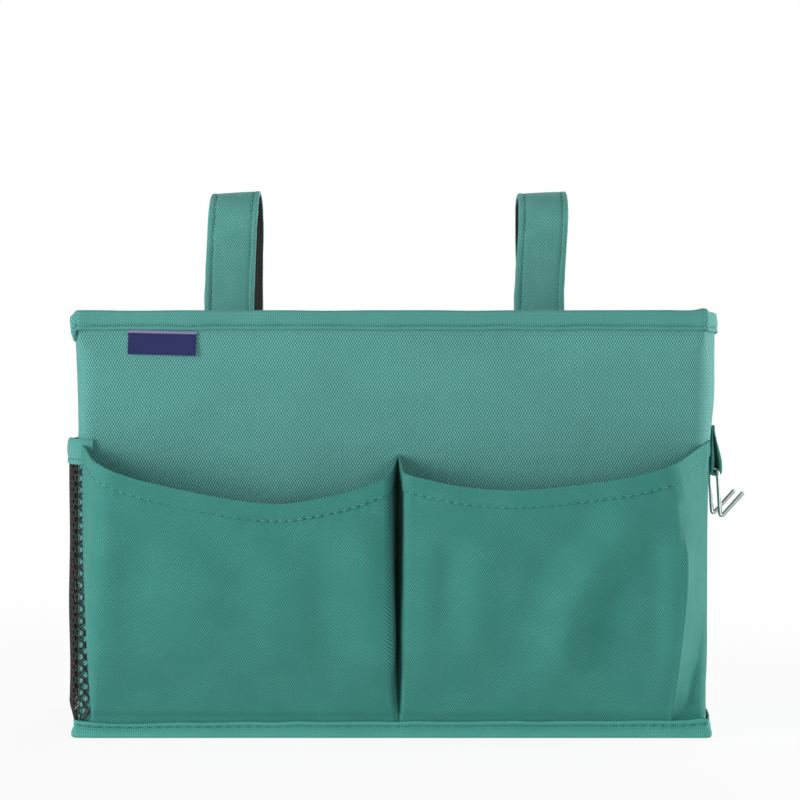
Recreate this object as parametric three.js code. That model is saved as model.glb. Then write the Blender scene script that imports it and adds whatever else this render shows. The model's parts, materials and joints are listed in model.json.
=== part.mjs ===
// Bedside caddy: a cloth box that hangs beside a bed from two straps, with two front
// pockets, a net pocket on its left side and a key hook on its right side.
// Millimetres, +Z up. The front faces -Y, and the origin is under the middle of the base.

import * as THREE from 'three';

// Box of the caddy
const bodyWidth = 287; // across the front, corner seam to corner seam
const bodyDepth = 100;
const bodyHeight = 195;
const panelWall = 1.2;
const tapeWall = 0.8;
const seamGap = 0.3; // clearance between neighbouring pieces
const sideSteps = 12;
const sideRows = 10;

// Each side panel swells outwards, more at the rim than at its foot
const sides = {
  left: { sign: -1, footBulge: 2, rimBulge: 6, swellFoot: 140, swellTop: 190 },
  right: { sign: 1, footBulge: 5, rimBulge: 12, swellFoot: 100, swellTop: 160 },
};

// Bindings round the rim and the base, the stiffener and the tapes in the corners
const rimBindingHeight = 9;
const baseBindingHeight = 6.5;
const baseBindingFlare = 2.4; // how far the foot of the binding leans out past its top
const boardThick = 2.5;
const liningThick = 0.8;
const cornerTapeWidth = 6.5;
const cornerTapeThick = 1.2;

// Front pockets
const pocketWall = 1;
const pocketDepth = 25;
const pocketFullHeight = 80; // where a pocket reaches its whole depth
const pocketSquareness = 6; // exponent of the rounded plan shape
const pocketColumns = 20;
const pocketRows = 10;
const hemSoftShare = 0.25; // how wide the soft low point of the top edge is
const centreSeam = 2.3; // the seam between the pockets, right of the middle
const pleatGap = 7.5;
const pockets = {
  left: { side: sides.left, cornerInset: 4, hemLow: 108, lowShare: 0.36,
    innerHem: 119.5, outerHem: 125, innerRise: 10.5, outerRise: 10 },
  right: { side: sides.right, cornerInset: 0.4, hemLow: 114, lowShare: 0.35,
    innerHem: 121, outerHem: 127, innerRise: 8, outerRise: 8.5 },
};

// Net pocket on the left side
const netPocketDepth = 7;
const netFullHeight = 40; // where the net reaches its whole distance from the panel
const netTop = 123;
const netBindingHeight = 11;
const netBindingThick = 1.6;
const netColumns = 12;
const netRows = 14;
const netHoleShare = 0.72; // a hole's diagonals, as a share of its cell

// Small label under the rim
const labelWidth = 31;
const labelHeight = 11;
const labelThick = 0.6;
const labelInset = 39; // from the left corner to the label's middle
const labelTilt = 2.7; // degrees

// Straps over the bed rail, each sewn to the back and closed by a tape below
const strapWidth = 25;
const strapThick = 1.8;
const strapRise = 66; // from the rim to the top of the loop
const strapLoopRadius = 24;
const strapSewnDrop = 30; // from the rim to the lower end of the riser
const strapTailGap = 15; // from the riser's lower end to the flat tail below it
const strapTurnHeight = 55; // of the S bend between the loop and the tail
const strapTailLength = 75;
const strapTurnShare = 0.4; // how far each end of the S bend keeps its direction
const straps = {
  left: { side: sides.left, inset: 61.5 }, // from the corner to the strap's middle
  right: { side: sides.right, inset: 67.5 },
};
const gripTapeThick = 1.2;
const gripTapeMargin = 1; // from the strap's edge to the tape's edge
const gripTapeStartShare = 0.06; // of the flap's length
const loopTapeSpare = 25; // how far the loop tape runs on below the strap's tail
const flapSteps = 34;
const riserSteps = 16;

// Fabric tab and wire hook on the right side
const tabWidth = 20;
const tabThick = 2.4;
const tabTop = 142;
const tabSewnHeight = 6;
const tabEyeDrop = 15.7; // from the sewn stretch to the middle of the eye
const tabEyeRadius = 3.4;
const tabEyeClearance = 1.2; // from the eye to the panel
const wireRadius = 1;
const wireClearance = 0.6; // round the wire in the eye
const hookHalfSpan = 13;
const hookLegDrop = 22.3;
const hookLegReach = 1.2;
const hookProngRise = 12.5;
const hookProngReach = 11.2;
const hookBendRadius = 3;
const wireSides = 8;
const wireSteps = 56;

const halfWidth = bodyWidth / 2;
const halfDepth = bodyDepth / 2;
const panelFoot = panelWall + seamGap;
const panelTop = bodyHeight - tapeWall - seamGap;
const rimFoot = bodyHeight - rimBindingHeight;
const pocketReach = seamGap + pocketWall; // a pocket's outer face, from the panel
const strapApex = bodyHeight + strapRise;
const strapSewnFoot = bodyHeight - strapSewnDrop;
const strapTailTop = strapSewnFoot - strapTailGap;
const strapLegFoot = strapTailTop + strapTurnHeight;
const strapTailFoot = strapTailTop - strapTailLength;
const loopTapeFoot = strapTailFoot - loopTapeSpare;
const tabSewnFoot = tabTop - tabSewnHeight;
const tabEyeHeight = tabSewnFoot - tabEyeDrop;

const finish = (color, roughness, metalness = 0) =>
  new THREE.MeshStandardMaterial({ color, roughness, metalness });

const model = new THREE.Group();

function addPiece(name, geometry, color, roughness, metalness) {
  const mesh = new THREE.Mesh(geometry, finish(color, roughness, metalness));
  mesh.name = name;
  model.add(mesh);
  return mesh;
}

const teal = 0x4f9488;
const tealTape = 0x4a8f83;
const black = 0x1a1a1c;

// Eased step from 0 to 1
function ease(share) {
  const clamped = THREE.MathUtils.clamp(share, 0, 1);
  return clamped * clamped * (3 - 2 * clamped);
}

// Quarter sine from 0 to 1, as cloth leaves a seam
function billow(z, foot, top) {
  const share = THREE.MathUtils.clamp((z - foot) / (top - foot), 0, 1);
  return Math.sin(share * Math.PI / 2);
}

// X of a swelling side at a given Y and Z, moved in by inset along the cloth's normal
function sideX(side, y, z, inset, extraBulge = 0) {
  const swell = ease((z - side.swellFoot) / (side.swellTop - side.swellFoot));
  const bulge = side.footBulge + (side.rimBulge - side.footBulge) * swell + extraBulge;
  const share = y / halfDepth;
  const slope = 2 * bulge * share / halfDepth;
  return side.sign * (halfWidth + bulge * (1 - share * share) - inset * Math.hypot(1, slope));
}

// A closed solid from points and triangles, with its faces turned outwards
function closedSolid(points, triangles) {
  let volume = 0;
  for (const [a, b, c] of triangles) {
    volume += points[a].dot(new THREE.Vector3().crossVectors(points[b], points[c]));
  }
  const index = triangles.flatMap(([a, b, c]) => (volume > 0 ? [a, b, c] : [a, c, b]));
  const geometry = new THREE.BufferGeometry().setFromPoints(points);
  geometry.setIndex(index);
  geometry.computeVertexNormals();
  return geometry;
}

// Cloth with a thickness: two grids of points and the rim between them.
// outer and inner give the point at a column and a row.
function clothSolid(columns, rows, outer, inner) {
  const points = [];
  for (const face of [outer, inner]) {
    for (let row = 0; row <= rows; row++) {
      for (let column = 0; column <= columns; column++) {
        points.push(face(column, row));
      }
    }
  }
  const layer = (columns + 1) * (rows + 1);
  const at = (column, row) => row * (columns + 1) + column;
  const triangles = [];
  const quad = (a, b, c, d) => triangles.push([a, b, c], [a, c, d]);
  for (let row = 0; row < rows; row++) {
    for (let column = 0; column < columns; column++) {
      const a = at(column, row);
      const b = at(column + 1, row);
      const c = at(column + 1, row + 1);
      const d = at(column, row + 1);
      quad(a, b, c, d);
      quad(layer + a, layer + d, layer + c, layer + b);
    }
  }
  const rim = [];
  for (let column = 0; column < columns; column++) rim.push(at(column, 0));
  for (let row = 0; row < rows; row++) rim.push(at(columns, row));
  for (let column = columns; column > 0; column--) rim.push(at(column, rows));
  for (let row = rows; row > 0; row--) rim.push(at(0, row));
  rim.forEach((a, place) => {
    const b = rim[(place + 1) % rim.length];
    quad(a, layer + a, layer + b, b);
  });
  return closedSolid(points, triangles);
}

// The plan outline of the box at a height, moved in by inset, as points in order
function planLoop(inset, z) {
  const reach = halfDepth - inset;
  const stretch = (side) => Array.from({ length: sideSteps + 1 }, (_, step) => {
    const y = reach * (2 * step / sideSteps - 1);
    return new THREE.Vector3(sideX(side, y, z, inset), y, z);
  });
  return [...stretch(sides.right), ...stretch(sides.left).reverse()];
}

// A band round the whole box. Each corner of its section is an inset and a height.
function ringSolid(section) {
  const loops = section.map(([inset, z]) => planLoop(inset, z));
  const count = loops[0].length;
  const triangles = [];
  loops.forEach((_, corner) => {
    const next = (corner + 1) % loops.length;
    for (let place = 0; place < count; place++) {
      const after = (place + 1) % count;
      const a = corner * count + place;
      const b = corner * count + after;
      const c = next * count + after;
      const d = next * count + place;
      triangles.push([a, b, c], [a, c, d]);
    }
  });
  return closedSolid(loops.flat(), triangles);
}

// A flat plate with the box's outline
function plateSolid(inset, foot, thick) {
  const outline = planLoop(inset, foot).map((p) => new THREE.Vector2(p.x, p.y));
  const plate = new THREE.ExtrudeGeometry(new THREE.Shape(outline), {
    depth: thick, bevelEnabled: false,
  });
  return plate.translate(0, 0, foot);
}

// A box from its lowest and highest corners
function boxSolid(low, high) {
  const size = new THREE.Vector3().subVectors(high, low);
  const centre = new THREE.Vector3().addVectors(low, high).divideScalar(2);
  return new THREE.BoxGeometry(size.x, size.y, size.z).translate(centre.x, centre.y, centre.z);
}

// Front and back panels, with the side panels between them
function addPanels() {
  for (const [name, sign] of [['front_panel', -1], ['back_panel', 1]]) {
    const outerY = sign * halfDepth;
    const innerY = sign * (halfDepth - panelWall);
    const low = new THREE.Vector3(-halfWidth, Math.min(outerY, innerY), panelFoot);
    const high = new THREE.Vector3(halfWidth, Math.max(outerY, innerY), panelTop);
    addPiece(name, boxSolid(low, high), teal, 0.85);
  }
  const reach = halfDepth - panelWall - seamGap;
  for (const [name, side] of Object.entries(sides)) {
    const face = (inset) => (column, row) => {
      const y = reach * (2 * column / sideSteps - 1);
      const z = panelFoot + (panelTop - panelFoot) * row / sideRows;
      return new THREE.Vector3(sideX(side, y, z, inset), y, z);
    };
    const panel = clothSolid(sideSteps, sideRows, face(0), face(panelWall));
    addPiece(`${name}_side_panel`, panel, teal, 0.85);
  }
}

// Bottom cloth, which reaches into the base binding, with the board and the lining on it
function addBase() {
  const liningInset = panelWall + seamGap;
  const boardFoot = panelWall + seamGap;
  const liningFoot = boardFoot + boardThick + seamGap;
  addPiece('bottom_panel', plateSolid(-pocketReach, 0, panelWall), teal, 0.85);
  addPiece('bottom_board', plateSolid(liningInset, boardFoot, boardThick), 0x8d8476, 0.9);
  addPiece('bottom_lining', plateSolid(liningInset, liningFoot, liningThick), tealTape, 0.8);
  addCornerTapes(liningFoot + liningThick + seamGap);
}

// Tapes that bind the seams inside the four upright corners
function addCornerTapes(foot) {
  const top = rimFoot - seamGap;
  for (const [sideName, side] of Object.entries(sides)) {
    for (const [faceName, sign] of [['front', -1], ['back', 1]]) {
      const face = (inset) => (column, row) => {
        const y = sign * (halfDepth - panelWall - seamGap - inset);
        const z = foot + (top - foot) * row / sideRows;
        const edge = sideX(side, y, z, panelWall + seamGap);
        return new THREE.Vector3(edge - side.sign * cornerTapeWidth * column, y, z);
      };
      const tape = clothSolid(1, sideRows, face(0), face(cornerTapeThick));
      addPiece(`${faceName}_${sideName}_corner_tape`, tape, tealTape, 0.8);
    }
  }
}

// Folded tape over the rim, and a flared tape round the base that holds the pockets' feet
function addBindings() {
  const outside = -seamGap;
  const inside = panelWall + seamGap;
  const underFold = bodyHeight - tapeWall;
  const rim = ringSolid([
    [outside - tapeWall, rimFoot], [outside - tapeWall, bodyHeight],
    [inside + tapeWall, bodyHeight], [inside + tapeWall, rimFoot],
    [inside, rimFoot], [inside, underFold], [outside, underFold], [outside, rimFoot],
  ]);
  addPiece('rim_binding', rim, tealTape, 0.75);
  const hold = -pocketReach - seamGap;
  const base = ringSolid([
    [hold, 0], [hold - tapeWall - baseBindingFlare, 0],
    [hold - tapeWall, baseBindingHeight], [hold, baseBindingHeight],
  ]);
  addPiece('base_binding', base, tealTape, 0.75);
}

// Height of a pocket's top edge, where across runs from 0 at the centre seam to 1
function hemHeight(pocket, across, standing) {
  const inner = across < pocket.lowShare;
  const away = inner
    ? (pocket.lowShare - across) / pocket.lowShare
    : (across - pocket.lowShare) / (1 - pocket.lowShare);
  const edge = inner ? pocket.innerHem : pocket.outerHem;
  const rise = inner ? pocket.innerRise : pocket.outerRise;
  const soften = (share) => Math.hypot(share, hemSoftShare) - hemSoftShare;
  const dip = (edge - pocket.hemLow) * soften(away) / soften(1);
  return pocket.hemLow + dip + rise * (1 - standing);
}

// A loose front pocket: rounded in plan, billowing out of the base binding
function addFrontPocket(name, pocket) {
  const innerX = centreSeam + pocket.side.sign * pleatGap / 2;
  const outerX = pocket.side.sign * (halfWidth - pocket.cornerInset);
  const middle = (innerX + outerX) / 2;
  const reach = (outerX - innerX) / 2;
  const tuckTop = baseBindingHeight + seamGap;
  const face = (inset) => (column, row) => {
    const along = -Math.cos(Math.PI * column / pocketColumns);
    const power = Math.pow(Math.abs(along), pocketSquareness);
    const standing = Math.pow(Math.max(0, 1 - power), 1 / pocketSquareness);
    const top = hemHeight(pocket, (along + 1) / 2, standing);
    const z = row === 0
      ? panelFoot
      : tuckTop + (top - tuckTop) * (row - 1) / (pocketRows - 1);
    const depth = pocketDepth * billow(z, tuckTop, pocketFullHeight) + pocketWall - inset;
    const narrowed = reach - Math.sign(reach) * inset;
    const y = -halfDepth - seamGap - depth * standing;
    return new THREE.Vector3(middle + narrowed * along, y, z);
  };
  const shell = clothSolid(pocketColumns, pocketRows, face(0), face(pocketWall));
  addPiece(`${name}_front_pocket`, shell, teal, 0.85);
}

// The point of the net pocket's sheet at a share of its width and a height
function netPoint(widthShare, z, out) {
  const y = (halfDepth - seamGap - pocketWall) * (2 * widthShare - 1);
  const stand = netPocketDepth * billow(z, baseBindingHeight + seamGap, netFullHeight);
  return new THREE.Vector3(sideX(sides.left, y, z, -seamGap - out, stand), y, z);
}

// A net: a grid of cells, each with a diamond hole through the sheet
function addNetPocket() {
  const points = [];
  const triangles = [];
  const tuckTop = baseBindingHeight + seamGap;
  const cornerAt = new Map();
  const heightOf = (row) => (row === 0
    ? panelFoot
    : tuckTop + (netTop - seamGap - tuckTop) * (row - 1) / (netRows - 1));
  const addPoint = (column, row) => {
    const low = heightOf(Math.floor(row));
    const high = heightOf(Math.ceil(row));
    const z = low + (high - low) * (row - Math.floor(row));
    points.push(netPoint(column / netColumns, z, 0));
    points.push(netPoint(column / netColumns, z, pocketWall));
    return points.length - 2;
  };
  const corner = (column, row) => {
    const key = row * (netColumns + 1) + column;
    if (!cornerAt.has(key)) cornerAt.set(key, addPoint(column, row));
    return cornerAt.get(key);
  };
  const bothFaces = (a, b, c) => triangles.push([a, b, c], [a + 1, c + 1, b + 1]);
  const wall = (a, b) => triangles.push([a, b, b + 1], [a, b + 1, a + 1]);
  for (let row = 0; row < netRows; row++) {
    for (let column = 0; column < netColumns; column++) {
      const frame = [
        corner(column, row), corner(column + 1, row),
        corner(column + 1, row + 1), corner(column, row + 1),
      ];
      if (row === 0) {
        bothFaces(frame[0], frame[1], frame[2]);
        bothFaces(frame[0], frame[2], frame[3]);
        continue;
      }
      const half = netHoleShare / 2;
      const middle = [column + 1 / 2, row + 1 / 2];
      const hole = [[0, -half], [half, 0], [0, half], [-half, 0]]
        .map(([right, up]) => addPoint(middle[0] + right, middle[1] + up));
      for (let edge = 0; edge < frame.length; edge++) {
        const next = (edge + 1) % frame.length;
        bothFaces(frame[edge], frame[next], hole[edge]);
        bothFaces(frame[next], hole[next], hole[edge]);
        wall(hole[edge], hole[next]);
      }
    }
  }
  for (let column = 0; column < netColumns; column++) {
    wall(corner(column + 1, 0), corner(column, 0));
    wall(corner(column, netRows), corner(column + 1, netRows));
  }
  for (let row = 0; row < netRows; row++) {
    wall(corner(0, row), corner(0, row + 1));
    wall(corner(netColumns, row + 1), corner(netColumns, row));
  }
  addPiece('side_mesh_pocket', closedSolid(points, triangles), black, 0.7);
  const face = (out) => (column, row) =>
    netPoint(column / netColumns, netTop + netBindingHeight * row, out);
  const binding = clothSolid(netColumns, 1, face(netBindingThick), face(0));
  addPiece('mesh_pocket_binding', binding, tealTape, 0.75);
}

// A small blank label on the front panel, just under the rim binding
function addLabel() {
  const tilt = THREE.MathUtils.degToRad(labelTilt);
  const rise = (labelWidth * Math.sin(tilt) + labelHeight * Math.cos(tilt)) / 2;
  const label = addPiece(
    'label', new THREE.BoxGeometry(labelWidth, labelThick, labelHeight), 0x2b3163, 0.6);
  label.rotation.y = tilt;
  label.position.set(
    labelInset - halfWidth, -halfDepth - seamGap - labelThick / 2, rimFoot - seamGap - rise);
}

// A flat strap along a path of Y and Z, between two depths below its outer face
function stripSolid(path, steps, centre, width, from, to, startShare = 0) {
  const face = (depth) => (column, row) => {
    const share = startShare + (1 - startShare) * row / steps;
    const point = path.getPointAt(share);
    const tangent = path.getTangentAt(share);
    return new THREE.Vector3(
      centre + width * (column - 1 / 2),
      point.x + tangent.y * depth,
      point.y - tangent.x * depth);
  };
  return clothSolid(1, steps, face(from), face(to));
}

// Strap: the riser sewn to the back runs up to the top of the loop. The flap runs from
// there down behind the rail and back to the panel, where two grip tapes hold it.
function addStrap(name, strap) {
  const centre = strap.side.sign * (halfWidth - strap.inset);
  const riserFace = halfDepth + seamGap + tapeWall + seamGap;
  const loopCentreY = riserFace + strapLoopRadius;
  const loopCentreZ = strapApex - strapLoopRadius;
  const riser = new THREE.Path();
  riser.moveTo(riserFace, strapSewnFoot);
  riser.lineTo(riserFace, loopCentreZ);
  riser.absarc(loopCentreY, loopCentreZ, strapLoopRadius, Math.PI, Math.PI / 2, true);

  const flapCentreY = loopCentreY + seamGap;
  const legFace = flapCentreY + strapLoopRadius;
  const tailFace = halfDepth + 2 * (seamGap + gripTapeThick) + seamGap + strapThick;
  const turn = (strapLegFoot - strapTailTop) * strapTurnShare;
  const flap = new THREE.Path();
  flap.absarc(flapCentreY, loopCentreZ, strapLoopRadius, Math.PI / 2, 0, true);
  flap.lineTo(legFace, strapLegFoot);
  flap.bezierCurveTo(
    legFace, strapLegFoot - turn, tailFace, strapTailTop + turn, tailFace, strapTailTop);
  flap.lineTo(tailFace, strapTailFoot);

  const tapeWidth = strapWidth - 2 * gripTapeMargin;
  const tapeFrom = strapThick + seamGap;
  addPiece(`${name}_strap_riser`,
    stripSolid(riser, riserSteps, centre, strapWidth, 0, strapThick), tealTape, 0.8);
  addPiece(`${name}_strap_flap`,
    stripSolid(flap, flapSteps, centre, strapWidth, 0, strapThick), tealTape, 0.8);
  addPiece(`${name}_hook_tape`,
    stripSolid(flap, flapSteps, centre, tapeWidth, tapeFrom, tapeFrom + gripTapeThick,
      gripTapeStartShare), black, 0.9);
  const low = new THREE.Vector3(
    centre - strapWidth / 2, halfDepth + seamGap, loopTapeFoot);
  const high = new THREE.Vector3(
    centre + strapWidth / 2, halfDepth + seamGap + gripTapeThick, strapTailTop);
  addPiece(`${name}_loop_tape`, boxSolid(low, high), black, 0.95);
}

// The fabric tab: sewn at its top, with an eye at its foot that holds the wire
function addTabAndHook() {
  const top = sideX(sides.right, 0, tabTop, 0) + seamGap;
  const eyeX = sideX(sides.right, 0, tabEyeHeight, 0) + tabEyeClearance + tabEyeRadius;
  const lean = tabEyeHeight + 2 * tabEyeRadius;
  const outline = new THREE.Shape();
  outline.moveTo(top, tabTop);
  outline.lineTo(top + tabThick, tabTop);
  outline.lineTo(top + tabThick, tabSewnFoot);
  outline.quadraticCurveTo(eyeX + tabEyeRadius, lean, eyeX + tabEyeRadius, tabEyeHeight);
  outline.absarc(eyeX, tabEyeHeight, tabEyeRadius, 0, -Math.PI, true);
  outline.quadraticCurveTo(eyeX - tabEyeRadius, lean, top, tabSewnFoot);
  outline.closePath();
  const eye = new THREE.Path();
  eye.absarc(eyeX, tabEyeHeight, wireRadius + wireClearance, 0, 2 * Math.PI, false);
  outline.holes.push(eye);
  const tab = new THREE.ExtrudeGeometry(outline, {
    depth: tabWidth, bevelEnabled: false, curveSegments: 8,
  });
  tab.translate(0, 0, -tabWidth / 2).rotateX(Math.PI / 2);
  addPiece('hook_tab', tab, tealTape, 0.8);

  const side = (sign) => {
    const y = sign * hookHalfSpan;
    const bendX = eyeX + hookLegReach;
    const bendZ = tabEyeHeight - hookLegDrop;
    return [
      new THREE.Vector3(bendX + hookProngReach, y, bendZ + hookProngRise),
      new THREE.Vector3(bendX, y, bendZ),
      new THREE.Vector3(eyeX, y, tabEyeHeight),
    ];
  };
  const wire = roundedPath([...side(-1), ...side(1).reverse()], hookBendRadius);
  const section = new THREE.Shape(Array.from({ length: wireSides }, (_, place) => {
    const angle = 2 * Math.PI * place / wireSides;
    return new THREE.Vector2(wireRadius * Math.cos(angle), wireRadius * Math.sin(angle));
  }));
  const hook = new THREE.ExtrudeGeometry(section, {
    steps: wireSteps, bevelEnabled: false, extrudePath: wire,
  });
  addPiece('key_hook', hook, 0xc4c9cc, 0.25, 1);
}

// Straight stretches joined by bends that start a radius away from each corner
function roundedPath(corners, radius) {
  const path = new THREE.CurvePath();
  let from = corners[0];
  for (let place = 1; place < corners.length - 1; place++) {
    const corner = corners[place];
    const back = new THREE.Vector3().subVectors(corners[place - 1], corner).setLength(radius);
    const ahead = new THREE.Vector3().subVectors(corners[place + 1], corner).setLength(radius);
    const start = back.add(corner);
    const end = ahead.add(corner);
    path.add(new THREE.LineCurve3(from, start));
    path.add(new THREE.QuadraticBezierCurve3(start, corner, end));
    from = end;
  }
  path.add(new THREE.LineCurve3(from, corners[corners.length - 1]));
  return path;
}

addPanels();
addBase();
addBindings();
for (const [name, pocket] of Object.entries(pockets)) addFrontPocket(name, pocket);
addNetPocket();
addLabel();
for (const [name, strap] of Object.entries(straps)) addStrap(name, strap);
addTabAndHook();

export default model;
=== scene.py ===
# %% [markdown]
# A bedside caddy is a cloth box that hangs from a bed rail. This lesson dresses a fixed
# frame of plain solids with real cloth: woven panels, folded bindings, loose pockets, a
# knitted net, grip tape and a bent wire. The frame gives every size and every joint, so
# nothing here has to be fitted afterwards. The front faces -Y and the base stands on Z = 0.

# %% Load the frame
import json
import math

import bpy
import numpy as np
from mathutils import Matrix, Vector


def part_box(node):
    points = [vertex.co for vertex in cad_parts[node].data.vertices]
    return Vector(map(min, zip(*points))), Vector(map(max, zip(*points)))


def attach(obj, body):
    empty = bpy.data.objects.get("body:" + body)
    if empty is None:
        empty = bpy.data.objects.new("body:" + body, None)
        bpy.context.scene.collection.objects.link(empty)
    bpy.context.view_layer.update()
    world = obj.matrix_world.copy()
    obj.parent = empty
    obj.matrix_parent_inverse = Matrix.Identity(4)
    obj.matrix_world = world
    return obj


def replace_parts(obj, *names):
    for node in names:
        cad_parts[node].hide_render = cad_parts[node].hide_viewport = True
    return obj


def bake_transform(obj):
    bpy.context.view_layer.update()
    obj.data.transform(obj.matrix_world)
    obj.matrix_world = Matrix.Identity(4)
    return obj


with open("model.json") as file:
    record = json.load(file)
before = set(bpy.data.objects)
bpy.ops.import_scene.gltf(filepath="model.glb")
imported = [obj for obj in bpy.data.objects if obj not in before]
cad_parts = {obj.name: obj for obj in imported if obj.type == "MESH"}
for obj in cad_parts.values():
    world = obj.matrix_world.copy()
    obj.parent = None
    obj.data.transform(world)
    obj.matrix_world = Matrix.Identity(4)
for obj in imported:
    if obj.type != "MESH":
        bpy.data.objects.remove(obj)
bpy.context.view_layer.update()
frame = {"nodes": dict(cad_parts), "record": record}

MM = 0.001  # the sizes below are in millimetres, and a mesh is stored in metres

# %% Sizes that follow the frame


def cad(node):
    """The lowest and highest corner of a frame solid, in millimetres."""
    low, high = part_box(node)
    return np.array(low) / MM, np.array(high) / MM


panel_low, panel_high = cad("front_panel")
half_width, half_depth = panel_high[0], -panel_low[1]
panel_foot, panel_top = panel_low[2], panel_high[2]
rim_foot, rim_top = cad("rim_binding")[0][2], cad("rim_binding")[1][2]
base_top = cad("base_binding")[1][2]
wall = 1.2  # thickness of the cloth walls

# Each side swells: its bulge at the foot and at the rim, and the heights it grows between
BULGES = {-1: (2, 6, 140, 190), 1: (5, 10.6, 100, 165)}
print("box", 2 * half_width, 2 * half_depth, rim_top)

# %% [markdown]
# Cloth is never quite flat or straight. A few small tools carry most of that life: an
# eased step, a soft random surface made from a fixed grid of numbers, and curves through
# given points. All of them give the same result on every run.

# %% Soft steps and soft noise
NOISE_GRID = 61  # the random heights repeat after this many


def ease(share):
    """A smooth step from 0 to 1."""
    share = np.clip(share, 0, 1)
    return share * share * (3 - 2 * share)


def bump_at(place, centre, width):
    """A smooth bump of height 1 round a place."""
    return np.exp(-(((place - centre) / width) ** 2))


def billow(height, foot, full):
    """How far cloth has left its seam, from 0 at foot to 1 at full."""
    return np.sin(np.clip((height - foot) / (full - foot), 0, 1) * math.pi / 2)


def soft_noise(a, b, size, seed):
    """A smooth random height from -1 to 1 over the coordinates a and b."""
    grid = np.random.default_rng(seed).uniform(-1, 1, (NOISE_GRID, NOISE_GRID))
    a, b = np.asarray(a) / size + 17, np.asarray(b) / size + 17
    column, row = np.floor(a).astype(int), np.floor(b).astype(int)
    across, up = ease(a - column), ease(b - row)
    pick = lambda i, j: grid[(row + j) % NOISE_GRID, (column + i) % NOISE_GRID]
    low, high = (pick(0, j) * (1 - across) + pick(1, j) * across for j in (0, 1))
    return low * (1 - up) + high * up


def wavy(run, size, seed):
    """A smooth random line from -1 to 1."""
    return soft_noise(run, 0 * run, size, seed)


def at_holes(run, pitch):
    """1 at the needle holes of a seam, and 0 halfway along its stitches."""
    return 0.5 + 0.5 * np.cos(2 * math.pi * run / pitch)


print("a quarter of a step, eased:", ease(0.25))

# %% Curves


def curve_through(points, at):
    """A smooth curve through given points, read at some places."""
    place, value = np.array(points, float).T
    slope = np.gradient(value, place)
    i = np.clip(np.searchsorted(place, at) - 1, 0, len(place) - 2)
    span = place[i + 1] - place[i]
    t = np.clip((at - place[i]) / span, 0, 1)
    start = t * (1 - t) ** 2 * span * slope[i]
    end = t * t * (t - 1) * span * slope[i + 1]
    return value[i] * (1 - ease(t)) + value[i + 1] * ease(t) + start + end


def bezier(points, t):
    """A curve drawn towards each point in turn, read at shares t of its way."""
    points = list(points)
    while len(points) > 1:
        points = [a * (1 - t) + b * t for a, b in zip(points, points[1:])]
    return points[0]


def lengths(path, axis=0):
    """Distance run along a path of points."""
    run = np.cumsum(np.linalg.norm(np.diff(path, axis=axis), axis=-1), axis)
    return np.concatenate([np.zeros_like(run.take([0], axis)), run], axis)


def ridge(x, z, points, width, height):
    """A soft fold that follows points over a cloth: a ridge, or a valley if negative."""
    points = np.array(points, float)
    starts = lengths(points)
    best, along = np.full(np.shape(x), 1e9), np.zeros(np.shape(x))
    for (ax, az), (bx, bz), start, end in zip(points, points[1:], starts, starts[1:]):
        t = np.clip(((x - ax) * (bx - ax) + (z - az) * (bz - az)) / (end - start) ** 2, 0, 1)
        away = np.hypot(x - ax - t * (bx - ax), z - az - t * (bz - az))
        along = np.where(away < best, (start + t * (end - start)) / starts[-1], along)
        best = np.minimum(away, best)
    return height * bump_at(best, 0, width) * ease(along / 0.3) * ease((1 - along) / 0.3)


print("the middle of a bow of height 1:", bezier([0.0, 1.0, 0.0], 0.5))

# %% [markdown]
# Every soft piece here is a grid of points, because woven cloth is a grid too: it bends
# and drapes along its threads. A grid also gives the flat position of each point on the
# cloth for free, which is stored as a UV map in millimetres and places the weave later.
# The grid gets a second face behind it and a rim between, so that each piece is solid.

# %% A mesh piece
SHARP = math.radians(50)  # edges sharper than this aren't shaded as smooth


def make_mesh(name, points, quads, corners_flat, material, body):
    """A mesh piece in metres that rides on a body and carries its flat cloth map."""
    mesh = bpy.data.meshes.new(name)
    mesh.from_pydata((points * MM).tolist(), [], quads.tolist())
    flat_map = mesh.uv_layers.new(name="flat_cloth")
    flat_map.data.foreach_set("uv", corners_flat.reshape(-1).astype(np.float32))
    mesh.materials.append(material)
    mesh.shade_smooth()
    mesh.set_sharp_from_angle(angle=SHARP)
    piece = bpy.data.objects.new(name, mesh)
    bpy.context.collection.objects.link(piece)
    if body:
        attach(piece, body)
    print(name, len(mesh.vertices), "points")
    return piece


# %% Faces and directions of a grid


def grid_faces(rows, columns, wrap=False, closed=False):
    """Corner numbers of a grid's faces, for its points and for its flat map."""
    i, j = np.meshgrid(np.arange(rows - 1 + closed), np.arange(columns - 1 + wrap), indexing="ij")
    rise, side = np.stack([i, i, i + 1, i + 1]), np.stack([j, j + 1, j + 1, j])
    quads = rise % rows * columns + side % columns
    maps = rise * (columns + wrap) + side
    return quads.reshape(4, -1).T, maps.reshape(4, -1).T


def unit(vectors):
    """The same directions, 1 long."""
    return vectors / np.maximum(np.linalg.norm(vectors, axis=-1, keepdims=True), 1e-9)


def grid_normals(face, wrap):
    """Unit normals of a grid, from the directions of its rows and columns."""
    if wrap:
        across = np.roll(face, -1, 1) - np.roll(face, 1, 1)
    else:
        across = np.gradient(face, axis=1)
    return unit(np.cross(across, np.gradient(face, axis=0)))


def flat_grid(face):
    """Flat cloth positions of a grid: lengths along its middle row and a column."""
    middle, up = face[len(face) // 2], face[:, face.shape[1] // 3]
    return np.stack(np.meshgrid(lengths(middle), lengths(up)), -1)


print("3 by 3 points have", len(grid_faces(3, 3)[0]), "faces")

# %% Cloth and swept pieces


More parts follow.
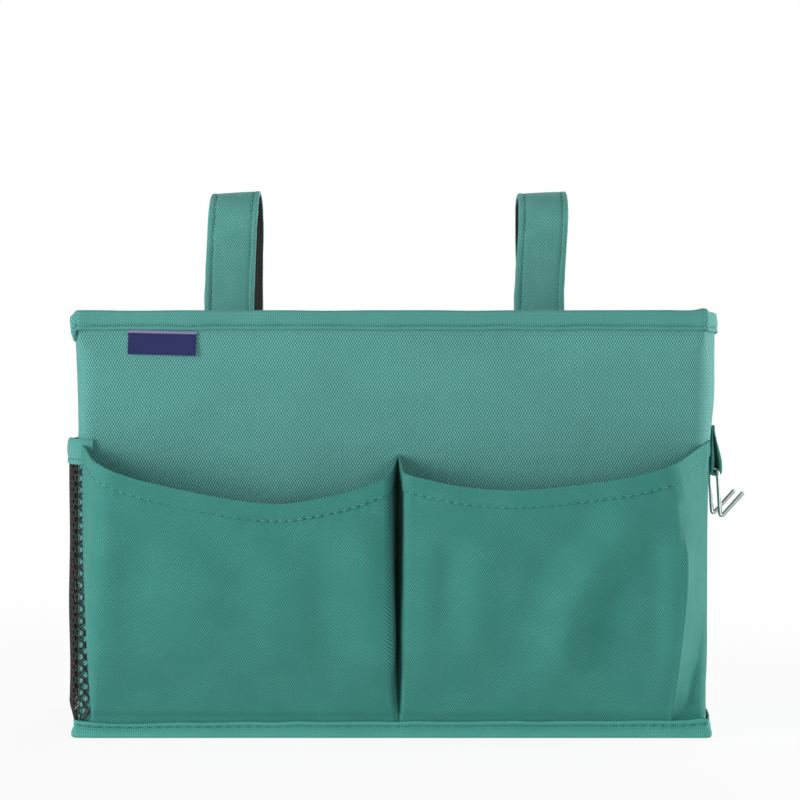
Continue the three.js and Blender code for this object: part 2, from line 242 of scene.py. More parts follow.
def cloth(name, face, thick, material, wrap=False, flat=None):
    """A solid cloth: the outer grid, an inner grid behind it and the rim between."""
    rows, columns = face.shape[:2]
    inner = face - grid_normals(face, wrap) * thick
    points = np.concatenate([face.reshape(-1, 3), inner.reshape(-1, 3)])
    maps = (flat_grid(face) if flat is None else flat).reshape(-1, 2)
    quads, places = grid_faces(rows, columns, wrap)
    count = rows * columns
    faces, spots = [quads, quads[:, ::-1] + count], [maps[places], maps[places[:, ::-1]]]
    j = np.arange(columns - 1 + wrap)
    top, top_map = (rows - 1) * columns, (rows - 1) * (columns + wrap)
    edges = [(j, (j + 1) % columns, j, j + 1),
             (top + (j + 1) % columns, top + j, top_map + j + 1, top_map + j)]
    if not wrap:
        first = np.arange(rows - 1) * columns
        last = first + columns - 1
        edges += [(last, last + columns) * 2, (first + columns, first) * 2]
    for a, b, map_a, map_b in edges:
        faces.append(np.stack([b, a, a + count, b + count], -1))
        spots.append(maps[np.stack([map_b, map_a, map_a, map_b], 1)])
    return make_mesh(name, points, np.concatenate(faces), np.concatenate(spots), material, "bag")


def swept(name, rings, material, body="bag", closed=False):
    """A solid swept along a path. Each ring is a closed section, at one station."""
    stations, around = rings.shape[:2]
    across = lengths(np.concatenate([rings[stations // 2], rings[stations // 2][:1]]))
    path = rings.mean(1)
    if closed:
        path = np.concatenate([path, path[:1]])
    flat = np.stack(np.meshgrid(across, lengths(path)), -1).reshape(-1, 2)
    quads, maps = grid_faces(stations, around, True, closed)
    faces, spots = [quads], [flat[maps]]
    if not closed:
        j = np.arange(around // 2 - 1)
        for base, turn in ((0, 1), ((stations - 1) * around, -1)):
            cap = np.stack([j, around - 1 - j, around - 2 - j, j + 1], -1)[:, ::turn]
            faces.append(cap + base)
            spots.append(flat[cap % (around + 1)])
    return make_mesh(name, rings.reshape(-1, 3), np.concatenate(faces), np.concatenate(spots),
                     material, body)


# %% [markdown]
# The cloth is a coarse oxford weave. Its yarns cross over and under each other, and from a
# step away the tops of the crossings read as staggered dots, about a millimetre apart. Two
# crossed waves give that pattern, and a second pair, shifted by a quarter turn, leans it
# towards one diagonal, as a cloth under tension does. It becomes a node group, because the
# panels, the pockets and the tapes share it with other spacings and colours.

# %% Placing nodes


def feed(tree, node, inputs):
    """Links or sets a node's inputs. A colour is given without its alpha."""
    for key, value in inputs.items():
        socket = node.inputs[key]
        if isinstance(value, bpy.types.NodeSocket):
            tree.links.new(value, socket)
        else:
            socket.default_value = (*value, 1) if socket.type == "RGBA" else value
    return node


def put(tree, kind, inputs=None, **settings):
    """Adds a shader node, sets its properties, and sets or links its inputs."""
    node = tree.nodes.new("ShaderNode" + kind)
    for key, value in settings.items():
        setattr(node, key, value)
    return feed(tree, node, inputs or {})


def math_node(tree, operation, *values):
    return put(tree, "Math", dict(enumerate(values)), operation=operation).outputs[0]


def blend_colours(tree, factor, a, b, mode="MIX"):
    node = put(tree, "Mix", {0: factor, 6: a, 7: b}, data_type="RGBA", blend_type=mode)
    return node.outputs[2]


def remap(tree, value, low, high, to_low=0.0, to_high=1.0):
    return put(tree, "MapRange", {0: value, 1: low, 2: high, 3: to_low, 4: to_high}).outputs[0]


def bump_on(tree, height, strength, depth):
    """Normals that follow a height, with the depth in millimetres."""
    return put(tree, "Bump", {"Strength": strength, "Distance": depth * MM, "Height": height}).outputs[0]


def noise_on(tree, place, scale, detail):
    return put(tree, "TexNoise", {"Vector": place, "Scale": scale, "Detail": detail}).outputs[0]


def new_group(name, inputs, outputs):
    """An empty node group with named sockets, its input sockets and its output node."""
    tree = bpy.data.node_groups.new(name, "ShaderNodeTree")
    for socket, kind, default in inputs:
        made = tree.interface.new_socket(socket, in_out="INPUT", socket_type="NodeSocket" + kind)
        if default is not None:
            made.default_value = default
    for socket, kind in outputs:
        tree.interface.new_socket(socket, in_out="OUTPUT", socket_type="NodeSocket" + kind)
    return tree, tree.nodes.new("NodeGroupInput").outputs, tree.nodes.new("NodeGroupOutput")


# %% The woven cloth group
weave, given, out = new_group(
    "oxford_weave",
    [("Flat", "Vector", None), ("Across", "Float", 1.17), ("Along", "Float", 2.0),
     ("Valley", "Color", (0.03, 0.2, 0.17, 1)), ("Crown", "Color", (0.2, 0.45, 0.4, 1)),
     ("Unevenness", "Float", 0.25), ("Lean", "Float", 0.0), ("Mottle", "Float", 0.12),
     ("Ribs", "Float", 0.0), ("Patchiness", "Float", 0.0)],
    [("Colour", "Color"), ("Height", "Float"), ("Roughness", "Float")])
minus = lambda a, b: math_node(weave, "SUBTRACT", a, b)
times = lambda a, b: math_node(weave, "MULTIPLY", a, b)
times_plus = lambda a, b, c: math_node(weave, "MULTIPLY_ADD", a, b, c)
noise_at = lambda scale, detail: minus(noise_on(weave, given["Flat"], scale, detail), 0.5)
drift = times(noise_at(0.3, 2), given["Unevenness"])
parts = put(weave, "SeparateXYZ", {0: given["Flat"]})
crossing = {"COSINE": [], "SINE": []}
for axis, spacing in ((0, "Across"), (1, "Along")):
    moved = math_node(weave, "ADD", parts.outputs[axis], drift)
    turns = math_node(weave, "DIVIDE", times(moved, 2 * math.pi), given[spacing])
    for wave in crossing:
        crossing[wave].append(math_node(weave, wave, turns))
leaning = times_plus(noise_at(0.03, 1), times(given["Lean"], 4), given["Lean"])
dots = times_plus(times(*crossing["SINE"]), leaning, times(*crossing["COSINE"]))
ribbed = times_plus(minus(crossing["COSINE"][1], dots), given["Ribs"], dots)
worn = times(remap(weave, noise_at(0.06, 1), -0.12, 0.16), given["Patchiness"])
height = remap(weave, times(ribbed, minus(1, worn)), -1, 1)
uneven = times_plus(noise_at(0.9, 2), 0.6, noise_at(0.035, 3))
level = times_plus(uneven, given["Mottle"], 1)
raised = times(math_node(weave, "POWER", height, 2), level)
woven = blend_colours(weave, raised, given["Valley"], given["Crown"])
grey = put(weave, "CombineColor", {0: level, 1: level, 2: level}).outputs[0]
feed(weave, out, {"Colour": blend_colours(weave, 1, woven, grey, "MULTIPLY"), "Height": height,
                  "Roughness": remap(weave, raised, 0, 1, 0.92, 0.66)})
print("group", weave.name, len(weave.nodes), "nodes")

# %% Cloth materials


def new_material(name):
    material = bpy.data.materials.new(name)
    material.use_nodes = True
    return material, material.node_tree, material.node_tree.nodes["Principled BSDF"]


def flat_vector(tree):
    return put(tree, "UVMap", uv_map="flat_cloth").outputs[0]


def woven_material(name, valley, crown, relief, sheen=0.06, **weave_values):
    """Oxford cloth: staggered yarn crowns over darker gaps, with a faint sheen."""
    material, tree, surface = new_material(name)
    made = put(tree, "Group", {"Flat": flat_vector(tree), "Valley": valley, "Crown": crown,
                               **weave_values}, node_tree=weave).outputs
    feed(tree, surface, {
        "Base Color": made["Colour"], "Roughness": made["Roughness"],
        "Normal": bump_on(tree, made["Height"], 0.7, relief), "Specular IOR Level": 0.25,
        "Sheen Weight": sheen, "Sheen Roughness": 0.45, "Sheen Tint": (0.6, 1, 0.95)})
    return material


tight = dict(Across=1.13, Along=1.86)
ribbed_tape = dict(Across=1.7, Along=1.0, Ribs=0.2, Patchiness=0.65, Unevenness=0.5)
panel_cloth = woven_material("panel_oxford", (0.01, 0.11, 0.09), (0.265, 0.69, 0.65), 0.2, 0.04)
pocket_cloth = woven_material("pocket_oxford", (0.0115, 0.144, 0.118), (0.1, 0.355, 0.312), 0.16,
                              Lean=-0.25, Patchiness=0.75, Mottle=0.16, **tight)
tape_cloth = woven_material("tape_oxford", (0.03, 0.2, 0.172), (0.19, 0.47, 0.435), 0.12, **ribbed_tape)
base_cloth = woven_material("base_oxford", (0.015, 0.2, 0.165), (0.2, 0.58, 0.515), 0.12, **ribbed_tape)
strap_cloth = woven_material("strap_oxford", (0.03, 0.2, 0.17), (0.26, 0.6, 0.55), 0.14,
                             Lean=-0.4, Patchiness=0.85, **tight)
lining_cloth = woven_material("lining", (0.02, 0.17, 0.14), (0.08, 0.28, 0.24), 0.06,
                              Across=0.7, Along=0.9)
print("cloths", [cloth_material.name for cloth_material in bpy.data.materials])

# %% Net yarn and grip tape


def fibre_material(name, dark, light, scale, relief, rough, sheen, shine):
    """Net yarn or grip tape: a fine fibrous noise in place of a weave."""
    material, tree, surface = new_material(name)
    noise = noise_on(tree, flat_vector(tree), scale, 4)
    fibres = remap(tree, noise, 0.3, 0.7)
    feed(tree, surface, {
        "Base Color": blend_colours(tree, fibres, dark, light),
        "Normal": bump_on(tree, noise, 0.8, relief),
        "Roughness": remap(tree, fibres, 0, 1, rough, rough - 0.2),
        "Sheen Weight": sheen, "Specular IOR Level": shine})
    return material


black = (0.003, 0.003, 0.003)
net_yarn = fibre_material("net_yarn", black, (0.022, 0.02, 0.019), 2.5, 0.12, 0.8, 0.03, 0.25)
hook_grip = fibre_material("hook_grip", black, (0.02, 0.02, 0.021), 2.2, 0.5, 0.85, 0.03, 0.3)
loop_grip = fibre_material("loop_grip", (0.004, 0.004, 0.005), (0.035, 0.035, 0.037), 1.6, 0.7,
                           0.95, 0.2, 0.3)
print("blacks", net_yarn.name, hook_grip.name, loop_grip.name)

# %% [markdown]
# A seam is sewn with a lock stitch: each stitch lies on the cloth for a few millimetres
# and dives into it at both ends. At this scale the thread can be real geometry, a short
# rounded rod that follows the seam and arches a little. Its flat map runs from 0 to 1
# along each stitch, so that the thread's ends can carry a painted shade where it goes down into its hole.

# %% Sewing thread
thread, tree, surface = new_material("thread")
place = put(tree, "SeparateXYZ", {0: flat_vector(tree)}).outputs
twist = math_node(tree, "SINE", math_node(tree, "MULTIPLY", 2 * math.pi, math_node(
    tree, "MULTIPLY_ADD", place[0], 7, place[1])))
lit = blend_colours(tree, remap(tree, twist, -1, 1), (0.025, 0.18, 0.15), (0.09, 0.34, 0.3))
# Painted shade: each stitch's two ends go near black, where the thread dives into its shadowed needle hole
from_middle = math_node(tree, "ABSOLUTE", math_node(tree, "SUBTRACT", place[0], 0.5))
painted_hole_shade = remap(tree, from_middle, 0.3, 0.4)
feed(tree, surface, {"Base Color": blend_colours(tree, painted_hole_shade, lit, (0.001, 0.03, 0.022)),
                     "Normal": bump_on(tree, twist, 0.5, 0.05), "Roughness": 0.7,
                     "Specular IOR Level": 0.3})
print("thread", len(tree.nodes), "nodes")

# %% Stitches along a seam
COVER = 0.94  # share of the pitch that a stitch covers
THREAD = 0.32  # the thread's radius


def stitches(name, path, normals, body="bag", slot="binding_tape", pitch=4.2, hole=0.0):
    """Threads along a path with its normals. hole is a needle hole's distance along it."""
    path, normals = np.asarray(path, float), np.asarray(normals, float)
    length = lengths(path)
    starts = np.arange(hole % pitch + (1 - COVER) / 2 * pitch, length[-1] - pitch, pitch)
    t = np.linspace(0, 1, 9)
    place = starts[:, None] + t * pitch * COVER
    read = lambda values, at: np.stack([np.interp(at, length, values[:, k]) for k in range(3)], -1)
    centre, normal = read(path, place), read(normals, place)
    tangent = unit(read(path, place + 0.2) - read(path, place - 0.2))
    normal = unit(normal - (normal * tangent).sum(-1, keepdims=True) * tangent)
    side = np.cross(tangent, normal)
    centre += normal * THREAD * (0.95 * np.sin(t * math.pi) ** 0.6 - 0.45)[:, None]
    girth = THREAD * np.sqrt(np.clip(1.03 - (2 * t - 1) ** 4, 0, 1))
    angle = np.arange(6)[:, None] * math.pi / 3
    ring = normal[..., None, :] * np.cos(angle) * 0.8 + side[..., None, :] * np.sin(angle)
    points = centre[..., None, :] + ring * girth[:, None, None]
    count, stations, around = points.shape[:3]
    caps = np.array([[0, 5, 4, 1], [1, 4, 3, 2]])
    quad = np.concatenate([grid_faces(stations, around, True)[0], caps,
                           caps[:, ::-1] + (stations - 1) * around])
    quads = (quad[None] + (np.arange(count) * stations * around)[:, None, None]).reshape(-1, 4)
    flat = np.stack([quads // around % stations / (stations - 1),
                     quads % around / around + quads // (stations * around)], -1)
    return make_mesh(name, points.reshape(-1, 3), quads, flat, thread, body)


# %% [markdown]
# The plan of the box is a rectangle with soft upright corners, whose two sides swell out
# as parabolas, more at the rim than at the foot. One function gives that outline at any
# height. The panels, the bindings, the net and the tapes all follow it, so they always
# fit. Between the two bindings the corners are round, and inside the bindings they are tight.

# %% The outline of the box
TIGHT_ROUND, MORE_ROUND = 1.4, 6.6  # size of the corners in the bindings, and what they gain


def side_bulge(sign, z):
    """How far the middle of a side stands out at a height."""
    foot, rim, low, high = BULGES[sign]
    return foot + (rim - foot) * ease((np.asarray(z) - low) / (high - low))


def side_x(sign, y, z, out=0.0):
    """X of a side's cloth at a depth and a height, moved out along its normal."""
    bulge, share = side_bulge(sign, z), y / half_depth
    lean = 2 * bulge * share / half_depth
    return sign * (half_width + bulge * (1 - share**2) + out * np.hypot(1, lean))


def corner_round(z):
    """Size of the round upright corners at a height."""
    return TIGHT_ROUND + MORE_ROUND * ease((rim_foot - z) / 14) * ease((z - 4) / 12)


def outline(z, step):
    """Points and outward normals round the box at each height, from the back's middle."""
    z = np.atleast_1d(np.asarray(z, float))[:, None]
    radius = corner_round(z)
    wide, deep = half_width - radius, half_depth - radius
    shares = lambda length, count=0: np.linspace(0, 1, (count or int(length / step)) + 1)[None, :-1]

    def flat_wall(start, end, y):
        return start + (end - start) * shares(abs(end - start).max()), y + 0 * z

    def turn(sign_x, sign_y, t):
        edge = sign_x * side_x(sign_x, deep, z)
        meet = edge - 2 * side_bulge(sign_x, z) * (deep / half_depth) * radius / half_depth
        return sign_x * bezier([wide, meet, edge], t), sign_y * (half_depth - radius * t * t)

    def swelling(sign, start, end):
        y = start + (end - start) * shares(2 * half_depth)
        return side_x(sign, y, z), y

    corner = shares(0, 12)
    pieces = [flat_wall(0 * wide, wide, half_depth), turn(1, 1, corner), swelling(1, deep, -deep),
              turn(1, -1, 1 - corner), flat_wall(wide, -wide, -half_depth), turn(-1, -1, corner),
              swelling(-1, -deep, deep), turn(-1, 1, 1 - corner),
              flat_wall(-wide, 0 * wide, half_depth)]
    x = np.concatenate([px + 0 * py for px, py in pieces], 1)
    y = np.concatenate([py + 0 * px for px, py in pieces], 1)
    dx, dy = (np.roll(value, -1, 1) - np.roll(value, 1, 1) for value in (x, y))
    size = np.hypot(dx, dy)
    return x, y, -dy / size, dx / size


def run_round(x, y):
    """Distance run along a closed outline, at each of its points."""
    return lengths(np.stack([x, y], -1))


def on_side(x, sign):
    """1 on one side panel of the box and 0 elsewhere."""
    return ease((sign * x - half_width + 0.6) / 1.2)


foot_x, foot_y, _, _ = outline(panel_foot, 2)
print("girth at the foot", run_round(foot_x[0], foot_y[0])[-1].round())

# %% [markdown]
# The four panels are one lofted shell with a little unevenness, not four plates: cloth
# over thin board stays almost flat, but it dishes in between its seams. The front cloth
# turns each corner softly, and a sewn seam pulls a narrow groove where the side starts.

# %% The cloth walls
heights = np.linspace(panel_foot, panel_top - 0.4, 110)
x, y, nx, ny = outline(heights, 1.6)
rise, middle_row = heights[:, None], len(heights) // 2
run = run_round(x[middle_row], y[middle_row])[None]
held = billow(rise, panel_foot, 30) * billow(-rise, -panel_top, -panel_top + 14)
to_seam = np.abs(np.abs(y) - (half_depth - corner_round(rise)))
dish = 0.5 * soft_noise(run, rise, 46, 3) + 0.16 * soft_noise(run, rise, 17, 4)
from_join = np.minimum(run, run.max() - run)  # the outline starts and ends behind, in the middle
dish = dish * held * ease(np.abs(half_width - np.abs(x)) / 9) * ease(from_join / 20)
dish = np.where(y < -half_depth + 1, np.minimum(dish, 0.15), dish)
dish -= 0.4 * bump_at(to_seam, 0, 0.7)
shell = np.stack([x + nx * dish, y + ny * dish, rise + 0 * x], -1)
plan = np.stack([np.clip(x, -half_width, half_width), y], -1)[:, ::-1]
around = np.abs(np.diff(np.concatenate([plan, plan[:, :1]], 1), axis=1)).sum(-1).cumsum(1)
around = np.concatenate([0 * around[:, :1], around], 1)  # the threads stay upright in each wall
walls = cloth("cloth_walls", shell[:, ::-1], wall, panel_cloth, wrap=True,
              flat=np.stack([around, rise + 0 * around], -1))
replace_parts(walls, "front_panel", "back_panel", "left_side_panel", "right_side_panel")

# %% [markdown]
# A raw edge of woven cloth frays, so the rim is bound: a strip of the same cloth is folded
# over it and one seam goes through both legs of the fold. The seam pulls a groove into the
# tape, and below it the folded edge stands off as a thin lip with a shadow under it.

# %% A band that follows the box


def round_box(level, section):
    """Points round the box, and its normals. section gives their outs and their heights."""
    x, y, nx, ny = (value[0][:, None] for value in outline(level, 0.9))
    outs, heights = section(run_round(x[:, 0], y[:, 0])[:, None], x, y)
    points = np.stack([x + nx * outs, y + ny * outs, heights + 0 * outs], -1)
    return points, np.concatenate([nx, ny, 0 * nx], 1)


def band(name, level, section, material):
    """A closed band round the box."""
    return swept(name, round_box(level, section)[0], material, closed=True)


def sew_round(name, level, section, pitch, turn=1):
    """A stitched line round the box. Its section is a single point."""
    points, normals = round_box(level, section)
    stitches(name, points[:, 0], normals * turn, pitch=pitch)


def from_corner(x, y):
    """Distance from the nearest corner of the box, in plan."""
    return np.hypot(np.abs(x) - half_width, np.abs(y) - half_depth)


# %% The rim binding
rim_level = (rim_foot + rim_top) / 2
tape = 0.8  # thickness of the folded tape
rim_out, rim_in = 0.95, 2.3  # how far its legs stand off the wall, outside and inside
rim_flat = 0.75  # height of its round top, as a share of its half width
RIM_PITCH = 5.6  # from one stitch to the next on the rim
rim_seam = 2.2  # height of the seam above the tape's edge
flare, flare_z = 1.7, 189  # how far the tape stands off the left side, and where


def rim_edge(run, x):
    """Height of the binding's lower edge: wavy, and sewn lower on the two sides."""
    drop = 0.4 * on_side(x, 1) + 4.6 * on_side(x, -1)
    return rim_foot - drop + 0.22 * wavy(run, 13, 11)


def rim_flare(x, z):
    """How far the tape stands off the left side under the rim."""
    return flare * bump_at(z, flare_z, 5) * on_side(x, -1)


def rim_section(run, x, y):
    """The fold over the rim: up the outer leg, over the top and down, then back inside."""
    edge = rim_edge(run, x)
    pucker = at_holes(run, RIM_PITCH) ** 3
    at_corner = bump_at(from_corner(x, y), 0, 4)
    bulk = 0.45 * at_corner + 0.12 * wavy(run, 9, 12)
    leg = np.array([0.1, 0, 0.2, 0.7, 1.25, 1.7, 2.0, 2.25, 2.6, 3.2, 4.2, 5.4, 6.4])[None]
    lift = np.array([-0.3, 0, 0.34, 0.5, 0.4, 0.08, -0.14, -0.2, 0.02, 0.3, 0.4, 0.35, 0.12])[None]
    puff = np.array([0, 0.02, 0.05, 0.08, 0.1, 0.2, 0.45, 0.42, 0.14, 0.03, 0, 0, 0])[None]
    thinned = 0.7 * np.clip(1 - leg / 2.2, 0, 1) * on_side(x, -1)
    turn = np.linspace(0, math.pi, 13)[None]
    middle, radius = (rim_out - rim_in) / 2, (rim_out + rim_in) / 2
    top = rim_top - rim_flat * radius + 0.2 * wavy(run, 22, 13) + 1.2 * at_corner * ease(x) * ease(-y)
    outer = rim_out + lift - puff * pucker + bulk + rim_flare(x, edge + leg) - thinned
    inner = -rim_in - lift + puff * pucker
    outs = [outer, middle + (radius + 0.5 * bulk) * np.cos(turn), inner[:, ::-1]]
    stretch = (top - edge) / (top - edge).min()
    outer_z = edge + leg * np.where(leg > rim_seam + 1, stretch, 1)
    heights = [outer_z, top + rim_flat * radius * np.sin(turn), outer_z[:, ::-1]]
    fold, back = rim_flat * radius - tape, turn[:, ::-1]
    outs += [inner + tape, middle + (radius - tape) * np.cos(back), (outer - tape)[:, ::-1]]
    heights += [outer_z + 0.1, top + fold * np.sin(back), outer_z[:, ::-1] + 0.1]
    return np.concatenate([o + 0 * run for o in outs], 1), np.concatenate(heights, 1)


def rim_line(out):
    """The section of a seam that follows the rim's edge."""
    height = lambda run, x: rim_edge(run, x) + rim_seam
    return lambda run, x, y: (out + rim_flare(x, height(run, x)), height(run, x))


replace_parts(band("rim_tape", rim_level, rim_section, tape_cloth), "rim_binding")
sew_round("rim_outer_stitches", rim_level, rim_line(rim_out - 0.18), RIM_PITCH)
sew_round("rim_inner_stitches", rim_level, rim_line(-rim_in + 0.18), RIM_PITCH, -1)

# %% [markdown]
# The base seam holds the bottom, the walls and the feet of the pockets in one flared tape.
# Its lower half is a full roll, its upper edge a thin lip, and one seam runs between them.
# At the front corners the tape turns on itself and its end stands up in a small ear.

# %% The base binding
BASE_PITCH = 4.6  # from one stitch to the next on the base
base_level = 3  # height of the outline that the tape follows
groove_point = 9  # the section's point in the groove


def base_grow(x, y):
    """How much higher the tape's upper edge is than usual, by place."""
    front = curve_through([(-146, 1.2), (-139, 0.1), (-131, -0.7), (-90, -0.2), (0, 0.2),
                           (110, 0.6), (136, 0.9), (142, 1.4), (146, 0.2)], x)
    return np.where(y < 0, front, 0) + 0.2 * wavy(x + y, 17, 24)


def base_section(run, x, y):
    """The tape round the base seam: the roll, the groove, and the lip above it."""
    pucker = at_holes(run, BASE_PITCH) ** 2
    corner_bulk = np.where(x < 0, -0.5, 0.3) * ease((-y - 30) / 15)
    bulk = corner_bulk * bump_at(from_corner(x, y), 0, 5) + 0.2 * wavy(run, 24, 21)
    outs = np.array([1.6, 2.9, 3.6, 3.9, 3.9, 3.6, 3.1, 2.55, 2, 1.7, 1.85, 2.25, 2.5, 2.45, 2.1,
                     1.5, 1.3])
    highs = np.array([0, 0, 0.35, 1, 1.8, 2.8, 3.6, 4.2, 4.7, 5.1, 5.5, 6, 6.6, 7.1, 7.3, 7, 3])
    puff = np.array([0, 0, 0, 0, 0, 0.05, 0.1, 0.15, 0.3, 0.4, 0.3, 0.1, -0.1, -0.1, 0, 0, 0])
    slim = 1 - 0.4 * np.maximum(on_side(x, 1), on_side(x, -1))
    wave = 0.2 * wavy(run, 11, 22) * (highs > 5)
    grow = 1 + base_grow(x, y) / highs.max()
    full = np.clip((outs - 1.6) / 1.2, 0, 1)
    return outs[None] * slim + bulk * full - puff * pucker, highs[None] * grow + wave


def base_line(run, x, y):
    """The section of the seam in the tape's groove."""
    outs, heights = (value[:, groove_point, None] for value in base_section(run, x, y))
    return outs + 0.18, heights


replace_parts(band("base_tape", base_level, base_section, base_cloth), "base_binding")
sew_round("base_stitches", base_level, base_line, BASE_PITCH)

# %% [markdown]
# A front pocket is one flat piece of cloth, wider than the stretch of panel it is sewn to,
# so it stands out in a loose box: an inner wall at the pleat, a front, and an outer wall.
# The two folds between them are soft near the hem and sharpen towards the base. Each row
# of the grid is that plan at one height, and the hem dips between its two seams.

# %% Sizes of the pockets
seam_y = -(half_depth + 0.3)  # where a pocket is sewn to the front panel
base_hold = base_top + 0.3  # the base binding holds the cloth up to here
pocket_depth, pocket_full = 25, 80  # how far a pocket stands out, and from which height
COLUMNS = (14, 14, 150, 18, 20)  # inner wall, fold, front, fold, outer wall

# Each curve gives X (or a size) by height. The hem gives its height by X along the front.
POCKETS = {
    "left": dict(
        sign=-1, rises=(9.5, 10.1), crease=0,
        hem=[(-130, 124.5), (-114, 119), (-99.6, 115.5), (-84, 112.2), (-70, 109.7), (-57, 108.1),
             (-46, 108), (-32, 110.2), (-16, 114), (-1.7, 119.4)],
        inner_seam=[(5, 3.45), (60, 3.35), (125, 3.25)],
        inner_front=[(5, 2.6), (12, 1.2), (22, 0), (40, -0.9), (80, -1.7), (125, -1.7)],
        front=[(5, -136.5), (30, -135.2), (70, -133.6), (125, -130.4)],
        outer=[(5, -137), (44, -139.4), (85, -141.2), (117, -141.8), (140, -141.8)],
        pleat_fold=[(5, 1.1), (40, 1.7), (125, 2.1)],
        fold=[(5, 1.5), (30, 4), (80, 7), (125, 8)]),
    "right": dict(
        sign=1, rises=(8, 11.2), crease=0.35,
        hem=[(6, 121), (15.7, 118.7), (25.9, 116.4), (36, 114.9), (46, 114.1), (56.4, 113.8),
             (66.6, 114.5), (87, 116.7), (107.4, 119.8), (117.7, 122.3), (124.8, 124.3)],
        inner_seam=[(5, 3.55), (60, 3.45), (125, 3.35)],
        inner_front=[(5, 4.4), (34, 5.2), (70, 5.8), (125, 5.9)],
        front=[(5, 127.4), (20, 128.2), (32, 129.2), (50, 130.8), (73, 131.8), (98, 131),
               (112, 128.6), (125, 125)],
        outer=[(5, 143.8), (14, 144.4), (30, 145.3), (60, 145.6), (100, 145.8), (140, 146.8)],
        pleat_fold=[(5, 1.5), (40, 3.2), (125, 4)],
        fold=[(5, 1), (50, 1.1), (73, 1.7), (90, 3.5), (104, 6.5), (125, 7)]),
}
print("pocket columns", sum(COLUMNS))

# %% The plan of a pocket


def corner_y(sign, x, z):
    """Y of the wall where it turns its soft front corner, at X and at a height."""
    radius = corner_round(z)
    wide, deep, bulge = half_width - radius, half_depth - radius, side_bulge(sign, z)
    edge = half_width + bulge * (1 - (deep / half_depth) ** 2)
    meet = edge - 2 * bulge * deep * radius / half_depth**2
    far = np.clip(sign * x - wide, 0, edge - wide)
    start, square = 2 * (meet - wide), edge - 2 * meet + wide
    t = 2 * far / (start + np.sqrt(np.maximum(start**2 + 4 * square * far, 0)))
    return -(half_depth - radius * t * t)


def pocket_plan(z, shape):
    """X, Y and the standing share of every column, at heights z (one per point)."""
    depth = pocket_depth * billow(z, base_hold, pocket_full) + 1
    face, sign = seam_y - depth, shape["sign"]
    x_in, x_seam, x_front, x_out, pleat, fold = (curve_through(shape[name], z) for name in (
        "inner_front", "inner_seam", "front", "outer", "pleat_fold", "fold"))
    y_out = corner_y(sign, x_out, z) - 0.3
    inward, cut = np.minimum(pleat, 0.6 * depth), np.minimum(fold, 0.45 * depth)
    inner_share = inward / np.hypot(x_seam - x_in, depth)
    outer_share = cut / np.hypot(x_out - x_front, y_out - face)
    knots = [(x_seam, seam_y + 0 * z),
             (x_in + (x_seam - x_in) * inner_share, face + depth * inner_share), (x_in, face),
             (x_in + sign * inward, face), (x_front - sign * cut, face), (x_front, face),
             (x_front + (x_out - x_front) * outer_share, face + (y_out - face) * outer_share),
             (x_out, y_out)]
    stretches = (knots[0:2], knots[1:4], knots[3:5], knots[4:7], knots[6:8])
    place, column = np.zeros((2, *z.shape)), 0
    for corners, count in zip(stretches, COLUMNS):
        t = np.linspace(0, 1, count, endpoint=corners is stretches[-1])
        part = slice(column, column + count)
        for axis in (0, 1):
            place[axis][:, part] = bezier([corner[axis][:, part] for corner in corners], t)
        column += count
    x, y = place
    outer = slice(column - sum(COLUMNS[3:]), column)
    gap = 0.1 + 0.9 * ease(np.hypot(x - x_out, y - y_out) / 2.5)
    y[:, outer] = np.minimum(y, corner_y(sign, x, z) - gap)[:, outer]
    standing = (seam_y - y) / depth
    standing[:, outer] = ((y_out - y) / (y_out - face))[:, outer]
    return x, y, np.clip(standing, 0, 1)


def hem_height(x, standing, shape):
    """The hem dips along the front, and turns up where the walls go back to the panel."""
    middle = shape["hem"][len(shape["hem"]) // 2][0]
    inner = (x - middle) * shape["sign"] < 0
    return curve_through(shape["hem"], x) + np.where(inner, *shape["rises"]) * (1 - standing)


print("left hem at X -46:", hem_height(-46, 1, POCKETS["left"]))

# %% [markdown]
# The folds are placed one by one. Each is a soft ridge or valley along a few points on the
# front, given as (X, Z): a long drape falls from the right pocket's hem towards its foot,
# and the left pocket is drawn in under its hem and stands out again near the pleat.

# %% Folds of the pockets
FOLDS = {
    "left": [([(-14, 114), (-8, 70), (-6, 16)], 11, 2.4),
             ([(-89, 86), (-89, 56), (-92, 24)], 23, 1.7),
             ([(-45, 84), (-45, 56), (-42, 24)], 19, 1.3),
             ([(-67, 92), (-66, 36)], 12, -1.0),
             ([(-33, 100), (-30, 60), (-28, 26)], 8, -0.9),
             ([(-123, 112), (-126, 70), (-129, 16)], 7, 1.0),
             ([(-111, 106), (-110, 60)], 9, -0.9),
             ([(-118, 98), (-70, 93), (-22, 101)], 9, -1.2)],
    "right": [([(124, 114), (107, 97), (92, 80), (80.5, 62), (76, 40), (76.8, 18)], 11, 5.4),
              ([(121, 102), (106, 84), (97, 60), (93, 26)], 10, -2.1),
              ([(106, 110), (86, 96), (70, 80), (59, 52)], 8, -1.5),
              ([(117, 106), (117, 76), (119, 30)], 7, -1.2),
              ([(124, 104), (125, 60), (124, 16)], 4, 0.7),
              ([(20, 112), (16, 70), (14, 22)], 7, 0.8),
              ([(44, 100), (37, 70), (40, 30)], 10, 1.7),
              ([(28, 96), (25, 50)], 7, -1.0),
              ([(20, 104), (60, 100), (98, 104)], 7, -0.8),
              ([(131.4, 112), (131.6, 84)], 2.6, -1.1),
              ([(138.2, 46), (136.6, 22)], 5, -0.5),
              ([(137, 118), (139, 60)], 4, -0.5)],
}
print("folds", {side: len(folds) for side, folds in FOLDS.items()})

# %% The cloth of a pocket
HEM, hem_seam = 8.0, 7.65  # the folded hem and its seam, measured down from the edge
HEM_PITCH = 4.2  # from one stitch to the next
hem_rows = np.array([0, 0.25, 0.8, 1.6, 3, 4.8, 6.4, 7.2, hem_seam, HEM, 8.3, 8.7, 9.4, 10.6])
hem_guess = 118.0


